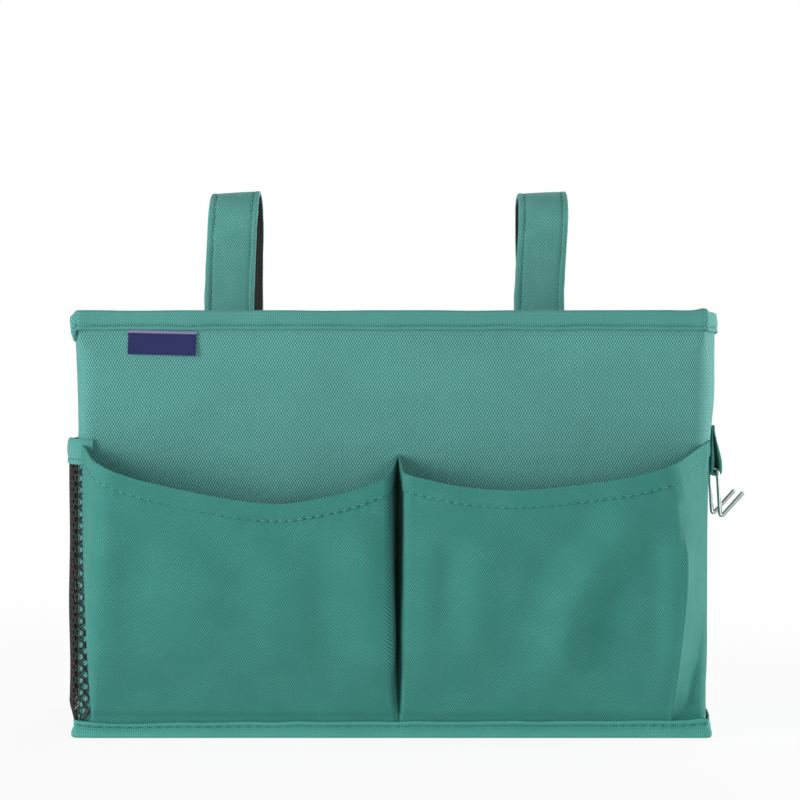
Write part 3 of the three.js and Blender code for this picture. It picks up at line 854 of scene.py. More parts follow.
def pocket_piece(side):
    """The outer face of a pocket, with its normals, flat map and distance under the hem."""
    shape = POCKETS[side]
    count = sum(COLUMNS)
    top = np.full((1, count), hem_guess)
    # The hem's height follows its X, and its X follows its height, so both are found in rounds
    for _ in range(3):
        x, _, standing = pocket_plan(top, shape)
        top = hem_height(x, standing, shape)
    below = np.concatenate([np.linspace(0, 1, 100)[1:-3], [0.985, 1]])[:, None]
    lowest = top - hem_rows[-1]
    z = np.concatenate([top - hem_rows[:, None], lowest + (base_hold - 1.2 - lowest) * below,
                        0 * top + panel_foot])
    x, y, standing = pocket_plan(z, shape)
    face, standing, under = np.stack([x, y, z], -1)[::-1], standing[::-1], (top - z)[::-1]
    if shape["sign"] < 0:
        face, standing, under = face[:, ::-1], standing[:, ::-1], under[:, ::-1]
    u, v = lengths(face, 1), lengths(face, 0)
    u -= u[:, [count // 2]]
    normal = grid_normals(face, False)
    push = pocket_relief(side, shape, face[..., 0], face[..., 2], u, under, standing)
    return face + normal * push[..., None], normal, np.stack([u, v], -1), under


def pocket_relief(side, shape, x, z, u, under, standing):
    """How far the cloth stands out along its normal: hem, seam groove, folds and wrinkles."""
    band_up = ease((HEM - under) / 0.5) * 0.6 - 0.2 * bump_at(under, 1.2, 1.5)
    groove = -(0.06 + 0.48 * at_holes(u, HEM_PITCH) ** 2) * bump_at(under, hem_seam, 0.45)
    loose = ease((standing - 0.15) / 0.5)
    held = billow(z, base_hold, base_hold + 16)
    push = sum(ridge(x, z, points, width, height) for points, width, height in FOLDS[side])
    start, end = shape["hem"][0][0], shape["hem"][-1][0]
    bow = 2.2 * (1 - ((2 * x - start - end) / (end - start)) ** 2) * ease(z / 90)
    small = 0.55 * soft_noise(u, z, 26, 31) + 0.25 * soft_noise(u, z, 9, 32) * ease((42 - z) / 30)
    pinch = -0.8 * bump_at(z, base_hold + 2.4, 2.0)
    tug = 0.14 * wavy(u, 2.6, 33) * bump_at(under, HEM + 1.5, 3)
    crease = shape["crease"] * bump_at(x, curve_through(shape["front"], z), 0.9) * ease((104 - z) / 20)
    push = (push + np.maximum(bow, 0) + small) * held
    return (push + pinch + tug + crease) * loose + band_up + groove


# %% The two pockets
pocket_thick, foot_row = 0.9, 20  # foot_row is a row of the grid near the base

for side in POCKETS:
    face, normal, flat, under = pocket_piece(side)
    piece = cloth(side + "_pocket", face, pocket_thick, pocket_cloth, flat=flat)
    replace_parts(piece, side + "_front_pocket")
    row = int(np.argmin(np.abs(under[:, 100] - hem_seam)))
    # The inner wall is too dark to see, so its seam is left out
    seen = slice(COLUMNS[0], None) if side == "right" else slice(None, -COLUMNS[0])
    sewn = stitches(side + "_hem_stitches", face[row, seen], normal[row, seen],
                    slot="body_cloth", hole=-flat[row, seen][0, 0])

# %% [markdown]
# Some pieces wrap only a part of the box, such as the net and the tapes in its corners.
# One fine grid of the box's outline serves them all: a place on it is the distance run
# round the box and a height, and a piece stands off it by a chosen distance.

# %% A place on the skin of the box
skin_rise = np.linspace(panel_foot, panel_top, 80)
skin = np.stack(outline(skin_rise, 1.0), -1)
skin_x, skin_y, _, _ = skin[len(skin) // 2].T
skin_run = run_round(skin_x, skin_y)


def run_at(x, y):
    """Distance run round the box to the place on it that is nearest to a point."""
    return skin_run[np.argmin(np.hypot(skin_x - x, skin_y - y))]


def on_skin(run, z, out):
    """Points that stand off the skin, by run, height and distance out."""
    row = np.interp(z, skin_rise, np.arange(len(skin_rise)))
    column = np.interp(run, skin_run, np.arange(len(skin_run)))
    i = np.minimum(row.astype(int), len(skin_rise) - 2)
    j = np.minimum(column.astype(int), len(skin_run) - 2)
    up, along = (row - i)[..., None], (column - j)[..., None]
    low, high = (skin[k, j] * (1 - along) + skin[k, j + 1] * along for k in (i, i + 1))
    x, y, nx, ny = np.moveaxis(low * (1 - up) + high * up, -1, 0)
    return np.stack([x + nx * out, y + ny * out, z + 0 * out], -1)


print("skin", skin.shape[:2], "places")

# %% [markdown]
# The net is knitted with staggered round holes. It is a sheet of cells: each has a
# six-sided border shared with its neighbours and a ring round its hole, and the yarn swells
# between the two. A flat pattern is made first, then wrapped round the box's left side.

# %% Sizes of the net
NET_PITCH = (4.4, 2.72)  # across and up, from hole to hole
NET_HOLE = (1.62, 1.5)  # half width and half height of a hole
NET_THICK = 0.35  # half the yarn's thickness
binding_foot, binding_top = 124.5, 136.2  # the strip that covers the net's top edge
net_stand, net_full = 4.3, 15  # how far the net stands out, and from which height
net_start = run_at(-135.5, -half_depth)
net_wide = run_at(-half_width, half_depth - 7) - net_start


def net_surface(run, z, out):
    """A point of the net, by its distance from the net's front edge."""
    stand = net_stand * billow(z, base_hold - 1, net_full) * ease(run / 30) * ease((net_wide - run) / 9)
    ripple = 0.4 * soft_noise(run, z, 30, 41) * ease(run / 20)
    return on_skin(net_start + run, z, 0.5 + stand + ripple + out)


print("the net runs", net_wide.round(), "mm round the side")

# %% The cells of the net


def net_cells(width, low, high):
    """Corners of each cell's border and hole, as (u, v, lift), and the faces between."""
    across, up = NET_PITCH
    half_border = [(0, 2 / 3 * up), (-across / 4, up / 2), (-across / 2, up / 3), (-across / 2, 0),
                   (-across / 2, -up / 3), (-across / 4, -up / 2)]
    border = np.array(half_border + [(-a, -b) for a, b in half_border])
    hole = unit(border) * NET_HOLE
    between = border * 0.35 + hole * 0.65
    rings = [(border, 1), (between, 0.85), (hole, 0.35), (hole, -0.35), (between, -0.85), (border, -1)]
    points, faces = [], []
    for row in range(int((high - low) / up)):
        shift = across / 2 * (row % 2)
        for column in range(int(width / across)):
            centre = np.array([column * across + shift + across / 2, low + row * up])
            start = len(points)
            for ring, lift in rings:
                points += [(*(centre + place), lift) for place in ring]
            for ring in range(len(rings) - 1):
                for k in range(12):
                    a, b = start + ring * 12 + k, start + ring * 12 + (k + 1) % 12
                    faces.append((a, b, b + 12, a + 12))
    return np.array(points), np.array(faces)


def closed_sheet(points, faces):
    """Joins the shared corners of the cells and closes the sheet's outer edge."""
    _, first, same = np.unique(np.round(points, 3), axis=0, return_index=True, return_inverse=True)
    points, faces = points[first], same.reshape(-1)[faces]
    pairs = np.sort(np.stack([faces, np.roll(faces, -1, 1)], -1).reshape(-1, 2), 1)
    edges, times_used = np.unique(pairs, axis=0, return_counts=True)
    loose = {tuple(edge) for edge in edges[times_used == 1]}
    number = {tuple(np.round(point, 3)): k for k, point in enumerate(points)}
    closing = []
    for face in faces:
        for a, b in zip(face, np.roll(face, -1)):
            if (min(a, b), max(a, b)) in loose and points[a][2] > 0:
                behind = [number[tuple(np.round(points[k] * (1, 1, -1), 3))] for k in (a, b)]
                closing.append((b, a, *behind))
    return points, np.concatenate([faces, np.array(closing)])


# %% The net pocket
points, faces = closed_sheet(*net_cells(net_wide - 2, panel_foot + 2.5, binding_foot + 5))
laid = net_surface(points[:, 0], points[:, 1], NET_THICK * (1 + points[:, 2]))
net = make_mesh("net", laid, faces, points[faces][..., :2], net_yarn, "bag")
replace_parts(net, "side_mesh_pocket")

# %% [markdown]
# The net's top edge is bound with a strip of the box's cloth. Its two upright edges are
# caught in the corner seams, and a narrow black tape covers the cut yarns there.

# %% The binding of the net
run = np.linspace(net_wide - 0.6, 0.4, 130)
outs, shares = np.array([(1.1, 0.0), (1.5, 0.05), (1.3, 0.14), (1.0, 0.2), (1.25, 0.26), (1.6, 0.42),
                         (1.65, 0.68), (1.45, 0.86), (1.05, 0.96), (0.5, 1.01), (-0.1, 0.98),
                         (-0.4, 0.86), (-0.45, 0.5), (-0.35, 0.25), (-0.3, 0.1), (0.1, 0)]).T
sag = 0.3 * wavy(run[:, None], 14, 42)
heights = binding_foot + sag + (binding_top - binding_foot) * shares[None]
rings = net_surface(run[:, None] + 0 * outs[None], heights, outs[None] + 0 * run[:, None])
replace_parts(swept("net_tape", rings, tape_cloth), "mesh_pocket_binding")
seam_line, beside = (net_surface(run, 0 * run + binding_foot + 2.4, out) for out in (1.1, 2.1))
stitches("net_stitches", seam_line, beside - seam_line)
rise = np.linspace(base_hold - 1, binding_foot + 1, 90)
edge_section = [(0.7, -0.4), (0.85, 0.1), (0.8, 0.8), (0.6, 1.3), (0.2, 1.4), (-0.2, 0.9), (-0.2, -0.3)]
for name, inset, turn in (("front", lambda a: a, -1), ("back", lambda a: net_wide - a, 1)):
    ring = [net_surface(inset(along) + 0 * rise, rise, out + 0 * rise)
            for out, along in edge_section[::turn]]
    swept("net_%s_edge" % name, np.stack(ring, 1)[::-1], net_yarn)

# %% [markdown]
# A small woven label hangs just under the rim. It is a satin ribbon with its top edge
# turned over, so a pale line of its back shows there, and it curls a little.

# %% The label
label_low, label_high = cad("label")
label_wide, label_tall = 31, 11
label_tilt = math.radians(1.4)

satin, tree, surface = new_material("label_satin")
up_label = put(tree, "SeparateXYZ", {0: flat_vector(tree)}).outputs[1]
turned = remap(tree, up_label, label_tall - 1.3, label_tall - 1.15)
fine = noise_on(tree, flat_vector(tree), 2.2, 3)
ribs = math_node(tree, "SINE", math_node(tree, "MULTIPLY", up_label, 2 * math.pi / 0.35))
navy = blend_colours(tree, fine, (0.006, 0.008, 0.05), (0.02, 0.028, 0.125))
feed(tree, surface, {
    "Base Color": blend_colours(tree, turned, navy, (0.2, 0.19, 0.33)),
    "Normal": bump_on(tree, math_node(tree, "MULTIPLY_ADD", ribs, 0.3, fine), 0.5, 0.05),
    "Roughness": remap(tree, fine, 0.3, 0.7, 0.55, 0.42), "Sheen Weight": 0.02,
    "Specular IOR Level": 0.2})

across, up = np.meshgrid(np.linspace(0, 1, 48), np.linspace(0, 1, 22))
u, v = (across - 0.5) * label_wide, (up - 0.5) * label_tall
fold_line = 0.18 * ease((up - 0.84) / 0.03) * ease((1 - up) / 0.03)
curl = (0.75 * (1 - up) ** 2 * (0.4 + ease((across - 0.5) / 0.5))
        + 0.25 * (1 - up) * ease(1 - across / 0.2)
        + 0.12 * soft_noise(u, v, 7, 51) * (1 - up) + fold_line)
centre_x, _, centre_z = (label_low + label_high) / 2 + (0, 0, 0.6)
face = np.stack([centre_x + u * math.cos(label_tilt) + v * math.sin(label_tilt),
                 label_low[1] - 0.05 - curl,
                 centre_z - u * math.sin(label_tilt) + v * math.cos(label_tilt)], -1)
label = cloth("label_ribbon", face, 0.35, satin,
              flat=np.stack([u + label_wide / 2, v + label_tall / 2], -1))
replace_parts(label, "label")

# %% [markdown]
# Each strap is a folded strip with a seam along both edges. It is sewn to the back, loops
# over the rail and closes on itself lower down. The loop crosses the hinge of the frame,
# so the strap is two pieces: the loop is not attached to any body, and the tail below rides with
# the strap.

# %% Sizes of a strap
strap_apex = cad("left_strap_flap")[1][2]
strap_thick, loop_radius = 1.8, 24
riser_face = cad("left_strap_riser")[0][1]
sewn_foot = cad("left_strap_riser")[0][2]
tail_face, tail_foot = cad("left_strap_flap")[0][1] + strap_thick, cad("left_strap_flap")[0][2]
leg_foot, tail_top = 205, 150  # between these heights the strap comes in to the box
STRAP_PITCH = 4.2  # from one stitch to the next
edge_seam = 0.775  # place of the two edge seams, as a share of the half width
edge_bulk = 0.3  # how far the folded edges stand out past the flat part

# How a strap strays to its right: at its foot, at its top and behind, and its top's tilt
STRAPS = {"left": (-0.3, 1.6, 1.1, 0.8), "right": (-1.6, 1.2, 2.2, 0.6)}
print("riser from", sewn_foot, "to the apex", strap_apex, "and the tail down to", tail_foot)

# %% The path of a strap


def bezier_path(points, count):
    return bezier([np.array(point, float) for point in points], np.linspace(0, 1, count)[:, None])


def straight(a, b, step=1.5):
    """Points from a to b, about a step apart."""
    return np.linspace(a, b, max(2, int(math.dist(a, b) / step)))


def arc(centre, radius, start, end, count=40):
    angle = np.radians(np.linspace(start, end, count))
    return np.stack([centre[0] + radius * np.cos(angle), centre[1] + radius * np.sin(angle)], -1)


def joined(parts):
    """Parts of a path in one, without the points that they share."""
    return np.concatenate([parts[0]] + [part[1:] for part in parts[1:]])


def tangents(path, ends=(None, None)):
    """Unit directions along a path, with the two end directions given where they are known."""
    found = np.gradient(path, axis=0)
    for place, given in zip((0, -1), ends):
        if given is not None:
            found[place] = given
    return unit(found)


def strap_paths():
    """The outer face of a strap in Y and Z: up, over the rail and down, then the tail."""
    centre_z = strap_apex - loop_radius
    first, second = riser_face + loop_radius, riser_face + loop_radius + 0.3
    leg_face = second + loop_radius
    turn = 0.4 * (leg_foot - tail_top)
    loop = [straight((riser_face, sewn_foot), (riser_face, centre_z)),
            arc((first, centre_z), loop_radius, 180, 90), arc((second, centre_z), loop_radius, 90, 0),
            straight((leg_face, centre_z), (leg_face, leg_foot))]
    tail = [bezier_path([(leg_face, leg_foot), (leg_face, leg_foot - turn),
                         (tail_face, tail_top + turn), (tail_face, tail_top)], 44),
            straight((tail_face, tail_top), (tail_face, tail_foot))]
    return joined(loop), joined(tail)


loop_path, tail_path = strap_paths()
print("loop and tail are", lengths(loop_path)[-1].round(), "and", lengths(tail_path)[-1].round(), "mm")

# %% The section of a strap


def ribbon(path, centre, shift, section, ends=(None, None), tilt=0.0):
    """Rings of a section of (across, depth) along a path in Y and Z."""
    tangent = tangents(path, ends)
    across, depth = section[..., 0], section[..., 1]
    raised = tilt * ease((path[:, 1:] - strap_apex + 40) / 35) * across / np.abs(across).max()
    return np.stack([centre + shift[:, None] + across, path[:, :1] + tangent[:, 1:] * depth,
                     path[:, 1:] - tangent[:, :1] * depth + raised], -1)


def strap_section(run, half, thick):
    """A folded strip: thicker folded edges, and a groove along each of its two seams."""
    across = np.array([-1, -0.97, -0.9, -0.845, -0.8, -0.775, -0.75, -0.7, -0.6, -0.3])
    across = np.concatenate([across, [0], -across[::-1]]) * half
    run = run[:, None]
    at_seam = bump_at(np.abs(across), edge_seam * half, 0.55)
    groove = (0.24 + 0.14 * at_holes(run, STRAP_PITCH)) * at_seam
    edge = 0.22 * bump_at(np.abs(across), 0.89 * half, 1.2)
    soft = 0.18 * soft_noise(across[None] + 40, run, 9, 61)
    outer = groove - edge + soft - 0.1 * (1 - (across / half) ** 2)
    inner = thick - groove + edge * 0.5 + soft
    ragged = (half + edge_bulk + 0.15 * wavy(run, 7, seed) for seed in (62, 63))
    right, left = (np.concatenate([side, side + 0.16, side], 1) for side in ragged)
    across = across + 0 * run
    depths = np.array([0.3, 0.5, 0.7])[None] * thick + 0 * run
    across = np.concatenate([across, right, across[:, ::-1], -left], 1)
    depth = np.concatenate([outer, depths, inner[:, ::-1], depths[:, ::-1]], 1)
    return np.stack([across, depth], -1)


def seam_on(path, centre, shift, across, depth, half, tilt=0.0):
    """A stitched line along a strap, and the normals of the face that it lies on."""
    section = np.full((len(path), 2, 2), (across, depth), float)
    section[:, 1, 0] = half
    points = ribbon(path, centre, shift, section, tilt=tilt)[:, 0]
    tangent = tangents(path)
    normals = np.stack([0 * shift, -tangent[:, 1], tangent[:, 0]], -1)
    return points, normals if depth < strap_thick / 2 else -normals


# %% The two straps
down_first, up_last = ((0, -1), None), (None, (0, -1))  # directions where loop and tail meet
behind = lengths(loop_path) > lengths(loop_path)[-1] / 2


def bend_with(piece, body, start, end):
    """Bakes the place of a piece that crosses a hinge into its points."""
    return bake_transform(piece)


def strap_setting(side):
    """A strap's middle, half width and hinge, and how far its loop and tail stray."""
    foot, top, rear, _ = STRAPS[side]
    low, high = (corner[0] for corner in cad(side + "_strap_riser"))
    centre = (low + high) / 2
    hinge = [(centre, y, strap_apex) for y in (riser_face + 1, riser_face + 2 * loop_radius - 1)]
    up = foot + (top - foot) * ease((loop_path[:, 1] - 198) / 62)
    down = top + (rear - top) * ease((strap_apex - loop_path[:, 1]) / 50)
    settle = rear * ease((tail_path[:, 1] - tail_top) / (leg_foot - tail_top))
    return centre, (high - low) / 2, hinge, np.where(behind, down, up), settle


for side, (foot, _, _, tilt) in STRAPS.items():
    centre, half, hinge, lean, settle = strap_setting(side)
    body, half = side + "_strap", half - edge_bulk
    run = lengths(loop_path)
    rings = ribbon(loop_path, centre, lean, strap_section(run, half, strap_thick), up_last, tilt)
    loop = swept(side + "_loop", rings, strap_cloth, None)
    bend_with(loop, body, *hinge)
    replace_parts(loop, side + "_strap_riser")
    run = run[-1] + lengths(tail_path)
    rings = ribbon(tail_path, centre, settle, strap_section(run, half, strap_thick), down_first)
    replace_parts(swept(side + "_tail", rings, strap_cloth, body), side + "_strap_flap")
    for edge, across in (("left", -edge_seam * half), ("right", edge_seam * half)):
        for face_name, depth in (("outer", 0.2), ("inner", strap_thick - 0.2)):
            line = seam_on(loop_path, centre, lean, across, depth, half, tilt)
            sewn = stitches("%s_loop_%s_%s_stitches" % (side, edge, face_name), *line, None)
            bend_with(sewn, body, *hinge)
        line = seam_on(tail_path, centre, settle, across, 0.2, half)
        stitches("%s_tail_%s_stitches" % (side, edge), *line, body)
    for name, above in (("foot", 2.5), ("top", 17)):
        x = np.linspace(-edge_seam, edge_seam, 30) * half
        row = np.stack([centre + foot + x, 0 * x + riser_face + strap_thick, 0 * x + sewn_foot + above], -1)
        stitches("%s_sewn_%s_stitches" % (side, name), row, np.full((30, 3), (0.0, 1.0, 0.0)))

# %% [markdown]
# Grip tape closes the strap. The stiff tape with hooks covers the inner face of the flap,
# and the fuzzy tape with loops is sewn to the back panel under the tail.

# %% The grip tapes
hook_thick, pile_thick = 1.2, 1.1


def tape_section(path, half, depth, thick, start=0.0):
    """A flat woven tape between two depths under the strap's outer face."""
    run = start + lengths(path)[:, None]
    across = np.array([-1, -0.96, -0.85, -0.5, 0, 0.5, 0.85, 0.96, 1]) * half
    at_edge = np.abs(across) > 0.99 * half
    soft = 0.06 * soft_noise(across[None] + 90, run, 6, 71)
    near = depth + 0.15 * at_edge + soft
    far = depth + thick - 0.3 * at_edge + soft
    across = np.concatenate([across, across[::-1]]) + 0 * run
    return np.stack([across, np.concatenate([near, far[:, ::-1]], 1)], -1)


for side, (_, _, _, tilt) in STRAPS.items():
    centre, half, hinge, lean, settle = strap_setting(side)
    body, under = side + "_strap", strap_thick + 0.12
    above = int(np.argmax(loop_path[:, 1])) + 3
    path = loop_path[above:]
    section = tape_section(path, half, under, hook_thick)
    rings = ribbon(path, centre, lean[above:], section, up_last, tilt)
    upper = swept(side + "_hook_tape_upper", rings, hook_grip, None)
    bend_with(upper, body, *hinge)
    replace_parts(upper, side + "_hook_tape")
    section = tape_section(tail_path[:-3], half, under, hook_thick, lengths(path)[-1])
    rings = ribbon(tail_path[:-3], centre, settle[:-3], section, down_first)
    lower = swept(side + "_hook_tape_lower", rings, hook_grip, body)
    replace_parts(lower, side + "_hook_tape")
    low, high = cad(side + "_loop_tape")
    path = straight((high[1], high[2]), (high[1], low[2]), 2)
    rings = ribbon(path, centre, 0 * path[:, 0], tape_section(path, half, 0, pile_thick))
    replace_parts(swept(side + "_pile_tape", rings, loop_grip), side + "_loop_tape")

# %% [markdown]
# On the right side a fabric tab hangs from two short rows of stitches. It is a strip folded
# round the wire, so its end is an eye.

# %% The hook tab
tab_low, tab_high = cad("hook_tab")
wire_high = cad("key_hook")[1]
eye = np.array([joint["pos_m"] for joint in frame["record"]["behaviour"]["joints"]
                if joint["name"] == "key_hook_swing"][0])[[0, 2]] / MM
eye_radius, wire_radius = 2.6, 1.0
tab_top = tab_high[2]
start_x = side_x(1, 0, tab_top) + 0.25
leg_points = 26  # points of the path on each leg of the strip

# The outer face of the folded strip in X and Z: down, round the eye and back up
path = joined([
    bezier_path([(start_x + 1.3, tab_top), (start_x + 1.3, tab_top - 7),
                 (eye[0] + eye_radius + 0.2, eye[1] + 9), (eye[0] + eye_radius, eye[1])], leg_points),
    arc(eye, eye_radius, 0, -180, 24),
    bezier_path([(eye[0] - eye_radius, eye[1]), (eye[0] - eye_radius, eye[1] + 9),
                 (start_x + 0.1, tab_top - 10), (start_x, tab_top)], leg_points)])
tangent = tangents(path)
inward = np.stack([tangent[:, 1], -tangent[:, 0]], -1)
thin = 0.6 + 0.7 * ease((tab_top - 6 - path[:, 1]) / 10)
half = (tab_high[1] - tab_low[1]) / 2
across = np.array([-1, -0.97, -0.88, -0.78, -0.5, 0, 0.5, 0.78, 0.88, 0.97, 1]) * half
edge = 0.35 * (np.abs(across) > 0.98 * half)
soft = 0.12 * soft_noise(across[None], lengths(path)[:, None], 6, 81)
outs = np.concatenate([edge - 0.1 * (1 - (across / half) ** 2) + soft,
                       thin[:, None] - edge[::-1] + soft[:, ::-1] * 0.3], 1)
wide = np.concatenate([across, across[::-1]])[None]
rings = np.stack([path[:, :1] + inward[:, :1] * outs, wide + 0 * outs,
                  path[:, 1:] + inward[:, 1:] * outs], -1)
tab = swept("tab_strip", rings, tape_cloth, None)
tab_bend = [(start_x, 0, tab_top), (start_x, 0, tab_top - 8)]
bend_with(tab, "tab", *tab_bend)
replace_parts(tab, "hook_tab")
for name, z in (("tab_upper_stitches", tab_top - 0.9), ("tab_lower_stitches", tab_top - 6)):
    x_at = np.interp(-z, -path[:leg_points, 1], path[:leg_points, 0])
    y = np.linspace(-half + 0.8, half - 0.8, 30)
    sewn = stitches(name, np.stack([x_at + 0.05 + 0 * y, y, z + 0 * y], -1),
                    np.full((30, 3), (1.0, 0.0, 0.0)), None, pitch=2.8)
    bend_with(sewn, "tab", *tab_bend)

# %% [markdown]
# The key hook is one length of plated spring wire: two prongs joined by a bar that runs
# through the tab. Its ends are rounded. It is the only hard and shiny piece.

# %% The key hook
wire, tree, surface = new_material("plated_wire")
scratch = noise_on(tree, flat_vector(tree), 1.2, 5)
feed(tree, surface, {
    "Roughness": remap(tree, scratch, 0.3, 0.7, 0.12, 0.28), "Metallic": 1,
    "Base Color": blend_colours(tree, scratch, (0.27, 0.3, 0.29), (0.46, 0.49, 0.48))})

half_span = wire_high[1] - wire_radius
bend = np.array([eye[0] + 1.2, eye[1] - 22.3])  # X and Z of a prong's lowest point
tip = bend + (11.2, 12.5)
bend_radius = 3
start_way = (0.35, 0.1, -1.0)  # any direction that isn't along the wire's first stretch


def rounded(corners, radius, step=0.7):
    """A path of straight stretches with a soft bend at each corner between them."""
    parts, start = [], corners[0]
    t = np.linspace(0, 1, 12)[:-1, None]
    for before, corner, after in zip(corners, corners[1:], corners[2:]):
        one, two = (corner + unit(other - corner) * radius for other in (before, after))
        parts += [straight(start, one, step)[:-1], bezier([one, corner, two], t)]
        start = two
    return np.concatenate(parts + [straight(start, corners[-1], step)])


side_points = lambda y: [np.array([p[0], y, p[1]]) for p in (tip, bend, eye)]
path = rounded(side_points(-half_span) + side_points(half_span)[::-1], bend_radius)
ball = np.linspace(0.1, 0.5, 6) * math.pi  # each end is half a ball
ahead = wire_radius * (1 - np.cos(ball))[:, None]
first_way, last_way = tangents(path)[[0, -1]]
path = np.concatenate([path[0] + first_way * ahead, path[2:-2], (path[-1] - last_way * ahead)[::-1]])
girth = np.full(len(path), wire_radius)
girth[:6] = wire_radius * np.sin(ball)
girth[-6:] = girth[:6][::-1]
tangent = tangents(path)
side_way = [np.cross(tangent[0], start_way)]
for way in tangent[1:]:
    side_way.append(side_way[-1] - way * (side_way[-1] @ way))
side_way = unit(np.array(side_way))
other_way = np.cross(tangent, side_way)
angle = np.linspace(0, 2 * math.pi, 21)[:-1, None]
ring = side_way[:, None] * np.cos(angle) + other_way[:, None] * np.sin(angle)
hook = swept("wire_hook", path[:, None] + ring * girth[:, None, None], wire, "hook")
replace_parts(hook, "key_hook")

# %% [markdown]
# The bottom is a cloth with a board on it and a loose lining over the board. Inside, a tape
# covers the seam in each upright corner. None of it shows from the front, but a caddy on a
# shelf is seen from above.

# %% Bottom cloth and lining


def floor_cloth(name, z, out, thick, sag, material, turn):
    """A cloth with the outline of the box at one height. turn is 1 where it faces up."""
    share, y = np.meshgrid(np.linspace(0, 1, 150), np.linspace(-1, 1, 56) * (half_depth + out))
    inside = np.clip(y, -half_depth, half_depth)
    low, high = (side_x(sign, inside, z, out) for sign in (-1, 1))
    x = low + (high - low) * share
    edge = ease(np.minimum(np.minimum(x - low, high - x), half_depth + out - np.abs(y)) / 12)
    face = np.stack([x, y, z + sag * edge * (soft_noise(x, y, 28, 91) - 0.4)], -1)
    return cloth(name, face[::turn], thick, material)


bottom = floor_cloth("bottom_cloth", 0, 1.3, cad("bottom_panel")[1][2], 0, panel_cloth, -1)
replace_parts(bottom, "bottom_panel")
lining = floor_cloth("lining_cloth", cad("bottom_lining")[1][2] + 0.15, -1.6, 0.8, 0.35, lining_cloth, 1)
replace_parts(lining, "bottom_lining")

# %% The tapes in the corners
seam_section = [(-3.6, 0.1), (-3.3, 0.75), (-1.2, 0.9), (0, 0.45), (1.2, 0.9), (2.8, 0.8), (3.2, 0.1),
                (0, 0)]
for node in [n for n in frame["nodes"] if n.endswith("corner_tape")]:
    low, high = cad(node)
    sign_x, sign_y = np.sign(low[:2])
    z = np.linspace(low[2], high[2], 60)
    seam = run_at(sign_x * (half_width + 2), sign_y * (half_depth - corner_round(60)))
    rings = [on_skin(seam + along + 0 * z, z, -wall - 0.5 - out + 0.1 * soft_noise(z, 0 * z + along, 9, 95))
             for along, out in seam_section]
    name = node.replace("_corner_tape", "_seam_")
    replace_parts(swept(name + "tape", np.stack(rings, 1), tape_cloth), node)
    inner, further = (on_skin(seam + 0 * z, z, -wall - deep + 0 * z) for deep in (1, 2))
    stitches(name + "stitches", inner, further - inner)

# %% The board under the lining
board, tree, surface = new_material("grey_board")
pulp = noise_on(tree, put(tree, "TexCoord").outputs["Object"], 900, 5)
feed(tree, surface, {"Base Color": blend_colours(tree, pulp, (0.16, 0.13, 0.1), (0.3, 0.26, 0.2)),
                     "Normal": bump_on(tree, pulp, 0.4, 0.1), "Roughness": 0.92})
frame["nodes"]["bottom_board"].data.materials.clear()
frame["nodes"]["bottom_board"].data.materials.append(board)
print("bottom_board in", board.name)

# %% [markdown]
# The picture is a product photograph: a level camera a metre away, soft light from both
# sides, the left one stronger, and a white ground. The ground looks white to the camera by
# itself, so that the lamps can stay at a plain level. Near the box a part of it is lit,
# which keeps the shadow, and far away none of it is, so that no horizon shows.

# %% The white ground
ground_mesh = bpy.data.meshes.new("ground")
reach = 12.0  # metres from the middle to each edge
corners = [(-reach, -reach, 0), (reach, -reach, 0), (reach, reach, 0), (-reach, reach, 0)]
ground_mesh.from_pydata(corners, [], [(0, 1, 2, 3)])
ground = bpy.data.objects.new("ground", ground_mesh)
ground.location.z = -0.0004  # just under the base, so that the two faces don't meet
bpy.context.collection.objects.link(ground)


def seen_straight(tree):
    """1 where the camera looks straight at a surface, or in a mirror or through glass."""
    paths = put(tree, "LightPath").outputs
    through = math_node(tree, "MAXIMUM", paths["Is Glossy Ray"], paths["Is Transmission Ray"])
    return math_node(tree, "MAXIMUM", paths["Is Camera Ray"], through)


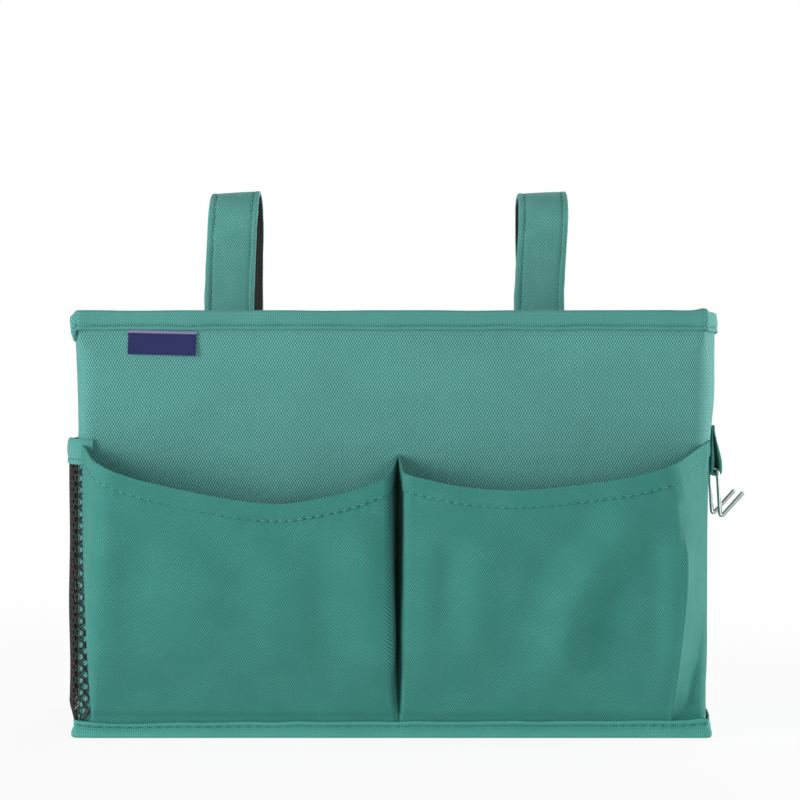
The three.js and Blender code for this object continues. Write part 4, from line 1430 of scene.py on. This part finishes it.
paper, tree, surface = new_material("white_ground")
feed(tree, surface, {"Base Color": (0.95, 0.95, 0.95), "Roughness": 1, "Specular IOR Level": 0})
glow = put(tree, "Emission", {"Color": (1, 1, 1), "Strength": 1})
ground_glow = 0.5  # the ground is lit from below too, which fills the undersides
place = put(tree, "TexCoord").outputs["Object"]
away = put(tree, "VectorMath", {0: place}, operation="LENGTH").outputs["Value"]
share = math_node(tree, "MULTIPLY", seen_straight(tree), remap(tree, away, 0.3, 0.8, 0.9, 1))
share = math_node(tree, "MAXIMUM", share, ground_glow)
mixed = put(tree, "MixShader", {0: share, 1: surface.outputs[0], 2: glow.outputs[0]})
tree.links.new(mixed.outputs[0], tree.nodes["Material Output"].inputs["Surface"])
ground_mesh.materials.append(paper)
print("ground glow", ground_glow)

# %% The white room
room_light = 0.13  # what the white surroundings add to the lamps
world = bpy.data.worlds.new("white_room")
bpy.context.scene.world = world
world.use_nodes = True
tree = world.node_tree
strength = math_node(tree, "MULTIPLY_ADD", seen_straight(tree), 1 - room_light, room_light)
feed(tree, tree.nodes["Background"], {"Color": (1, 1, 1), "Strength": strength})
print("room light", room_light)

# %% The lamps
middle = np.array([0, 0, 0.1])  # what the lamps point at
SOFT_BOXES = {  # each lamp's place, size and power
    "left_lamp": ((-1.4, -0.8, 0.42), 0.8, 23),
    "right_lamp": ((1.5, 0.3, 0.42), 0.8, 20),
    "top_lamp": ((0, -0.4, 1.8), 1.2, 2),
    "front_lamp": ((0.8, -1.7, 0.4), 0.8, 9),
    "back_lamp": ((0.6, 1.6, 1.2), 1.2, 12),
}
for name, (place, size, power) in SOFT_BOXES.items():
    lamp = bpy.data.lights.new(name, "AREA")
    lamp.shape, lamp.size, lamp.energy = "SQUARE", size, power
    holder = bpy.data.objects.new(name, lamp)
    bpy.context.collection.objects.link(holder)
    holder.location = place
    x, y, z = middle - place
    holder.rotation_euler = (math.atan2(math.hypot(x, y), -z), 0, math.atan2(x, -y) + math.pi)
    print(name, power, "W")

# %% The camera
camera_x, camera_away, camera_z = 4.1 * MM, 1.0, 154 * MM
camera = bpy.data.cameras.new("camera")
camera.lens, camera.sensor_width, camera.sensor_fit = 93.54, 36, "HORIZONTAL"
camera.clip_start, camera.clip_end = 0.05, 50
eye_point = bpy.data.objects.new("camera", camera)
eye_point.location = (camera_x, -camera_away, camera_z)
eye_point.rotation_euler = (math.pi / 2, 0, 0)
bpy.context.collection.objects.link(eye_point)
bpy.context.scene.camera = eye_point
bpy.context.scene.view_settings.view_transform = "Standard"
print("lens", camera.lens, "mm")
